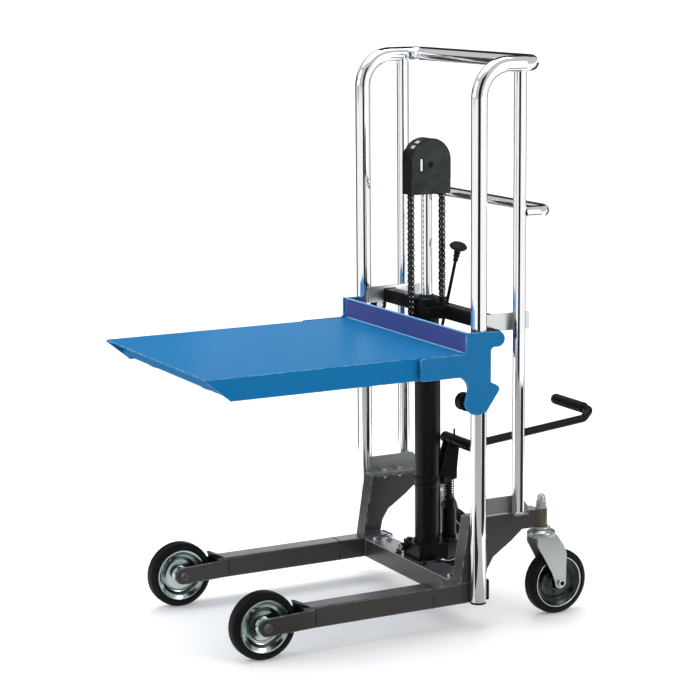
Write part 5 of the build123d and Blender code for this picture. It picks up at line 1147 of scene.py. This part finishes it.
def crackle_finish(name, face, rim):
    """A painted case: faces square to X take one tone, the rim another; a pebbled bump."""
    material, tree, shader = node_material(name)
    level = add_node(tree, "Math", {0: face_normal(tree, "X")}, operation="ABSOLUTE")
    flat = spread(tree, level, (0.90, 0.99))
    pebble = add_node(tree, "TexVoronoi", {"Vector": object_place(tree), "Scale": 420.0})
    cloud = spread(tree, noise(tree, 34.0, 6.0), (0.35, 0.65))
    toned = mixed(tree, cloud, *face)
    plug(tree, shader, {
        "Base Color": mixed(tree, flat, rim, toned),
        "Roughness": 0.40,
        "Specular IOR Level": 0.12,
        "Normal": bump(tree, pebble, 0.25, PEEL_DEPTH),
    })
    return material


COVER_FINISH = crackle_finish(
    "cover_crackle_coat", ((0.018, 0.024, 0.024), (0.038, 0.046, 0.045)), (0.003, 0.003, 0.003)
)
finish_nodes(COVER_FINISH, "pulley_cover", ease=0.0012)
finish_nodes(CHAIN_PIN, "chain_pulley")


def rim_tab(degrees, low_x, high_x):
    """A small bent tab lying on the cover's rim at an angle from the back."""
    a = math.radians(degrees)
    out = np.array([math.cos(a), math.sin(a)])
    along = np.array([-math.sin(a), math.cos(a)])
    base = np.array([RAM_Y, COVER_ARC_Z]) + out * (COVER_R - 0.0002)
    middle = (low_x + high_x) / 2
    outline = box_outline((high_x - low_x) / 2, 0.0045, 0.0012, 4) + (middle, 0)
    place = lambda rows: np.column_stack(
        [rows[:, 0], base + rows[:, 1:2] * along + rows[:, 2:3] * out]
    )
    return slab(outline, 0, 0.0016, 0.0004, place)


half_turn = np.linspace(math.pi, 0, 48)
bead_r = COVER_R * 0.985
bead_foot = COVER_ARC_Z - 0.045
bead_line = [
    (RAM_Y - bead_r, bead_foot),
    *[(RAM_Y + bead_r * math.cos(a), COVER_ARC_Z + bead_r * math.sin(a)) for a in half_turn],
    (RAM_Y + bead_r, bead_foot),
]
rim_bead = [capped(rings_on([(COVER_FACE - 0.0006, y, z) for y, z in bead_line], 0.0014, 12))]
piece("cover_rim_bead", rim_bead, BLACK_PAINT, "ram")
# A bright zinc strip in the cover's slot is a painted highlight: it stands for the lit pulley seen
# through the slot.
slot_highlight_place = sideways(0.023, RAM_Y - 0.026, PULLEY_Z)
slot_highlight_strip = slab(box_outline(0.0030, 0.0150, 0.0028, 5), -0.0022, -0.0004, 0.0003, slot_highlight_place)
cover_tabs_and_slot_highlight = [rim_tab(124, 0.002, 0.019), rim_tab(141, 0.002, 0.019), slot_highlight_strip]
piece("cover_tabs_and_slot_highlight", cover_tabs_and_slot_highlight, BRIGHT_ZINC, "ram")
pin_head = [(0, 0), (0, 0.0058), (0.0024, 0.0058), (0.0032, 0.0048), (0.0032, 0)]
pin_tip = [(0, 0), (0, 0.0022), (0.0014, 0.0018), (0.0014, 0)]
cover_pin = [
    turned(pin_head, (0.0260, RAM_Y, PULLEY_Z), "x", 32),
    turned(pin_tip, (0.0292, RAM_Y, PULLEY_Z), "x", 24),
]
piece("cover_pin_head", cover_pin, BLACK_PAINT, "ram")


# Pedal: a bent steel rod welded to a cross tube, with a ribbed black rubber grip that
# has a collar at its open end.
GRIP_RUBBER = moulded("grip_rubber_moulding", 0.003, 0.007, (0.45, 0.62), 0.25, 700.0)
GRIP_R, GRIP_Y, GRIP_Z = 0.014, MAST_Y + 0.452, 0.446
RIB_START, RIB_END, RIB_PITCH, RIB_DEPTH = -0.074, 0.040, 0.0057, 0.0012
rib_x = np.linspace(RIB_START, RIB_END, 229)
rib_turn = (rib_x - RIB_START) / RIB_PITCH * 2 * math.pi
rib_wave = GRIP_R - RIB_DEPTH * (0.5 - 0.5 * np.cos(rib_turn)) ** 2
closed_end = [(-0.0900, 0), (-0.0900, 0.0100), (-0.0880, 0.0130), (-0.0845, GRIP_R)]
collar = [(0.0440, GRIP_R), (0.0465, 0.0138), (0.0475, 0.0108), (0.0520, 0.0105), (0.0520, 0)]
grip_line = [*closed_end, *np.column_stack([rib_x, rib_wave]), *collar]
grip = [turned(grip_line, (0, GRIP_Y, GRIP_Z), "x", 56)]
piece(
    "pedal_grip_ribbed", grip, GRIP_RUBBER, "pedal", ["pedal_grip"],
    PRESSED_CREASE,
)


# Release: a thin black steel rod that runs up from the lowering valve, with a turned
# black plastic knob screwed on its top.
finish_nodes(BLACK_PLASTIC, "release_knob")


# Platform: a deck plate with folded skirts, welded to a thick back flange and two box
# beams, and sprayed with a glossy blue paint. The deck's top is lightly scuffed.
def glossy_paint(name, dark, light, scuff):
    """Blue paint under a clear gloss; fine scuffs on faces that look up, edges painted a light blue
    as a painted highlight, orange peel.
    """
    material, tree, shader = node_material(name)
    grain = use_group(tree, FINE_GRAIN, 320.0, 3.0)
    edge = use_group(tree, EDGE_HIGHLIGHT_AND_WEAR, 0.0024, 0.9, 55.0)["Mask"]
    dust_and_sheen_mask = use_group(tree, DUST_AND_SHEEN, 0.02, 7.0)["Mask"]
    drawn_out = {"Rotation": (0, 0, 0.5), "Scale": (30.0, 700.0, 30.0)}
    stretch = add_node(tree, "Mapping", {"Vector": object_place(tree), **drawn_out})
    scratch = spread(tree, noise(tree, 1.0, 2.0, stretch), (0.66, 0.76), (0, scuff))
    upward = spread(tree, face_normal(tree, "Z"), (0.7, 0.95))
    colour = mixed(tree, grain["Tone"], dark, light)
    colour = mixed(tree, dust_and_sheen_mask, colour, (0.45, 0.50, 0.55))
    # The light blue along the edges is a painted highlight.
    colour = mixed(tree, edge, colour, (0.38, 0.66, 0.88))
    plug(tree, shader, {
        "Base Color": mixed(tree, times(tree, scratch, upward), colour, (0.20, 0.42, 0.68)),
        "Roughness": spread(tree, grain["Tone"], end=(0.32, 0.42)),
        "Specular IOR Level": 0.045,
        "Normal": bump(tree, grain["Height"], 0.12, PEEL_DEPTH),
    })
    return material


PLATFORM_BLUE = glossy_paint(
    "platform_blue_paint", (0.004, 0.132, 0.325), (0.006, 0.156, 0.378), 0.2
)
# The back flange's violet-blue copy of the paint is a painted reflection.
FLANGE_REFLECTION_BLUE = glossy_paint("flange_blue_painted_reflection", (0.050, 0.070, 0.235), (0.070, 0.096, 0.295), 0.2)
SIDE_BLUE = glossy_paint("side_plate_blue_paint", (0.009, 0.127, 0.305), (0.014, 0.162, 0.370), 0.2)
# A lighter blue for the flange's foot bead and hem: a painted highlight.
HIGHLIGHT_BLUE = glossy_paint("painted_highlight_blue", (0.12, 0.32, 0.58), (0.24, 0.46, 0.72), 0.0)
finish_nodes(PLATFORM_BLUE, "platform_deck")
finish_nodes(PLATFORM_BLUE, "platform_beams", "chain_lug", ease=0.0008)
finish_nodes(FLANGE_REFLECTION_BLUE, "back_flange", ease=0.0012)
finish_nodes(SIDE_BLUE, "side_plate_right", "side_plate_left", ease=0.0012)


# Platform welds and hem: a bead along the foot of the back flange and short ones at the
# side plates, laid before painting, and the flange's rolled top edge. The foot bead and
# the hem are a lighter blue, a painted highlight along the flange's foot and top edge.
DECK_TOP = 0.671
FLANGE_FRONT, SIDE_FRONT = MAST_Y - 0.044, MAST_Y - 0.168
HEM_Y, HEM_Z, HEM_HALF, HEM_R = FLANGE_FRONT + 0.0006, 0.7195, 0.2975, 0.0022
foot_bead = weld_bead([(-0.290, FLANGE_FRONT, DECK_TOP), (0.290, FLANGE_FRONT, DECK_TOP)], 0.0019)
hem_line = [(x, HEM_Y, HEM_Z) for x in (-HEM_HALF, 0, HEM_HALF)]
flange_trim = [foot_bead, capped(rings_on(hem_line, HEM_R, 16))]
piece("flange_foot_bead", flange_trim, HIGHLIGHT_BLUE, "carriage")
edge_line = [(0.304, y, DECK_TOP - 0.0032) for y in (SIDE_FRONT + 0.010, MAST_Y - 0.062)]
plate_line = [(0.2975, SIDE_FRONT + 0.0060, z) for z in (0.626, 0.662)]
edge_bead, plate_bead = weld_bead(edge_line, 0.0016), weld_bead(plate_line, 0.0018)
deck_beads = both_sides([edge_bead]) + both_sides([plate_bead])
piece("platform_welds", deck_beads, PLATFORM_BLUE, "carriage")


# Carriage rollers: grooved nylon rollers on stub pins with retaining heads, running on
# the mast tubes, two in front and two behind.
ROLLER_NYLON = moulded("roller_nylon_turned", 0.005, 0.010, (0.34, 0.48), 0.10, 500.0)
for height in ("high", "low"):
    finish_nodes(ROLLER_NYLON, f"roller_{height}_right", f"roller_{height}_left")
finish_nodes(BOLT_STEEL, "roller_axles")
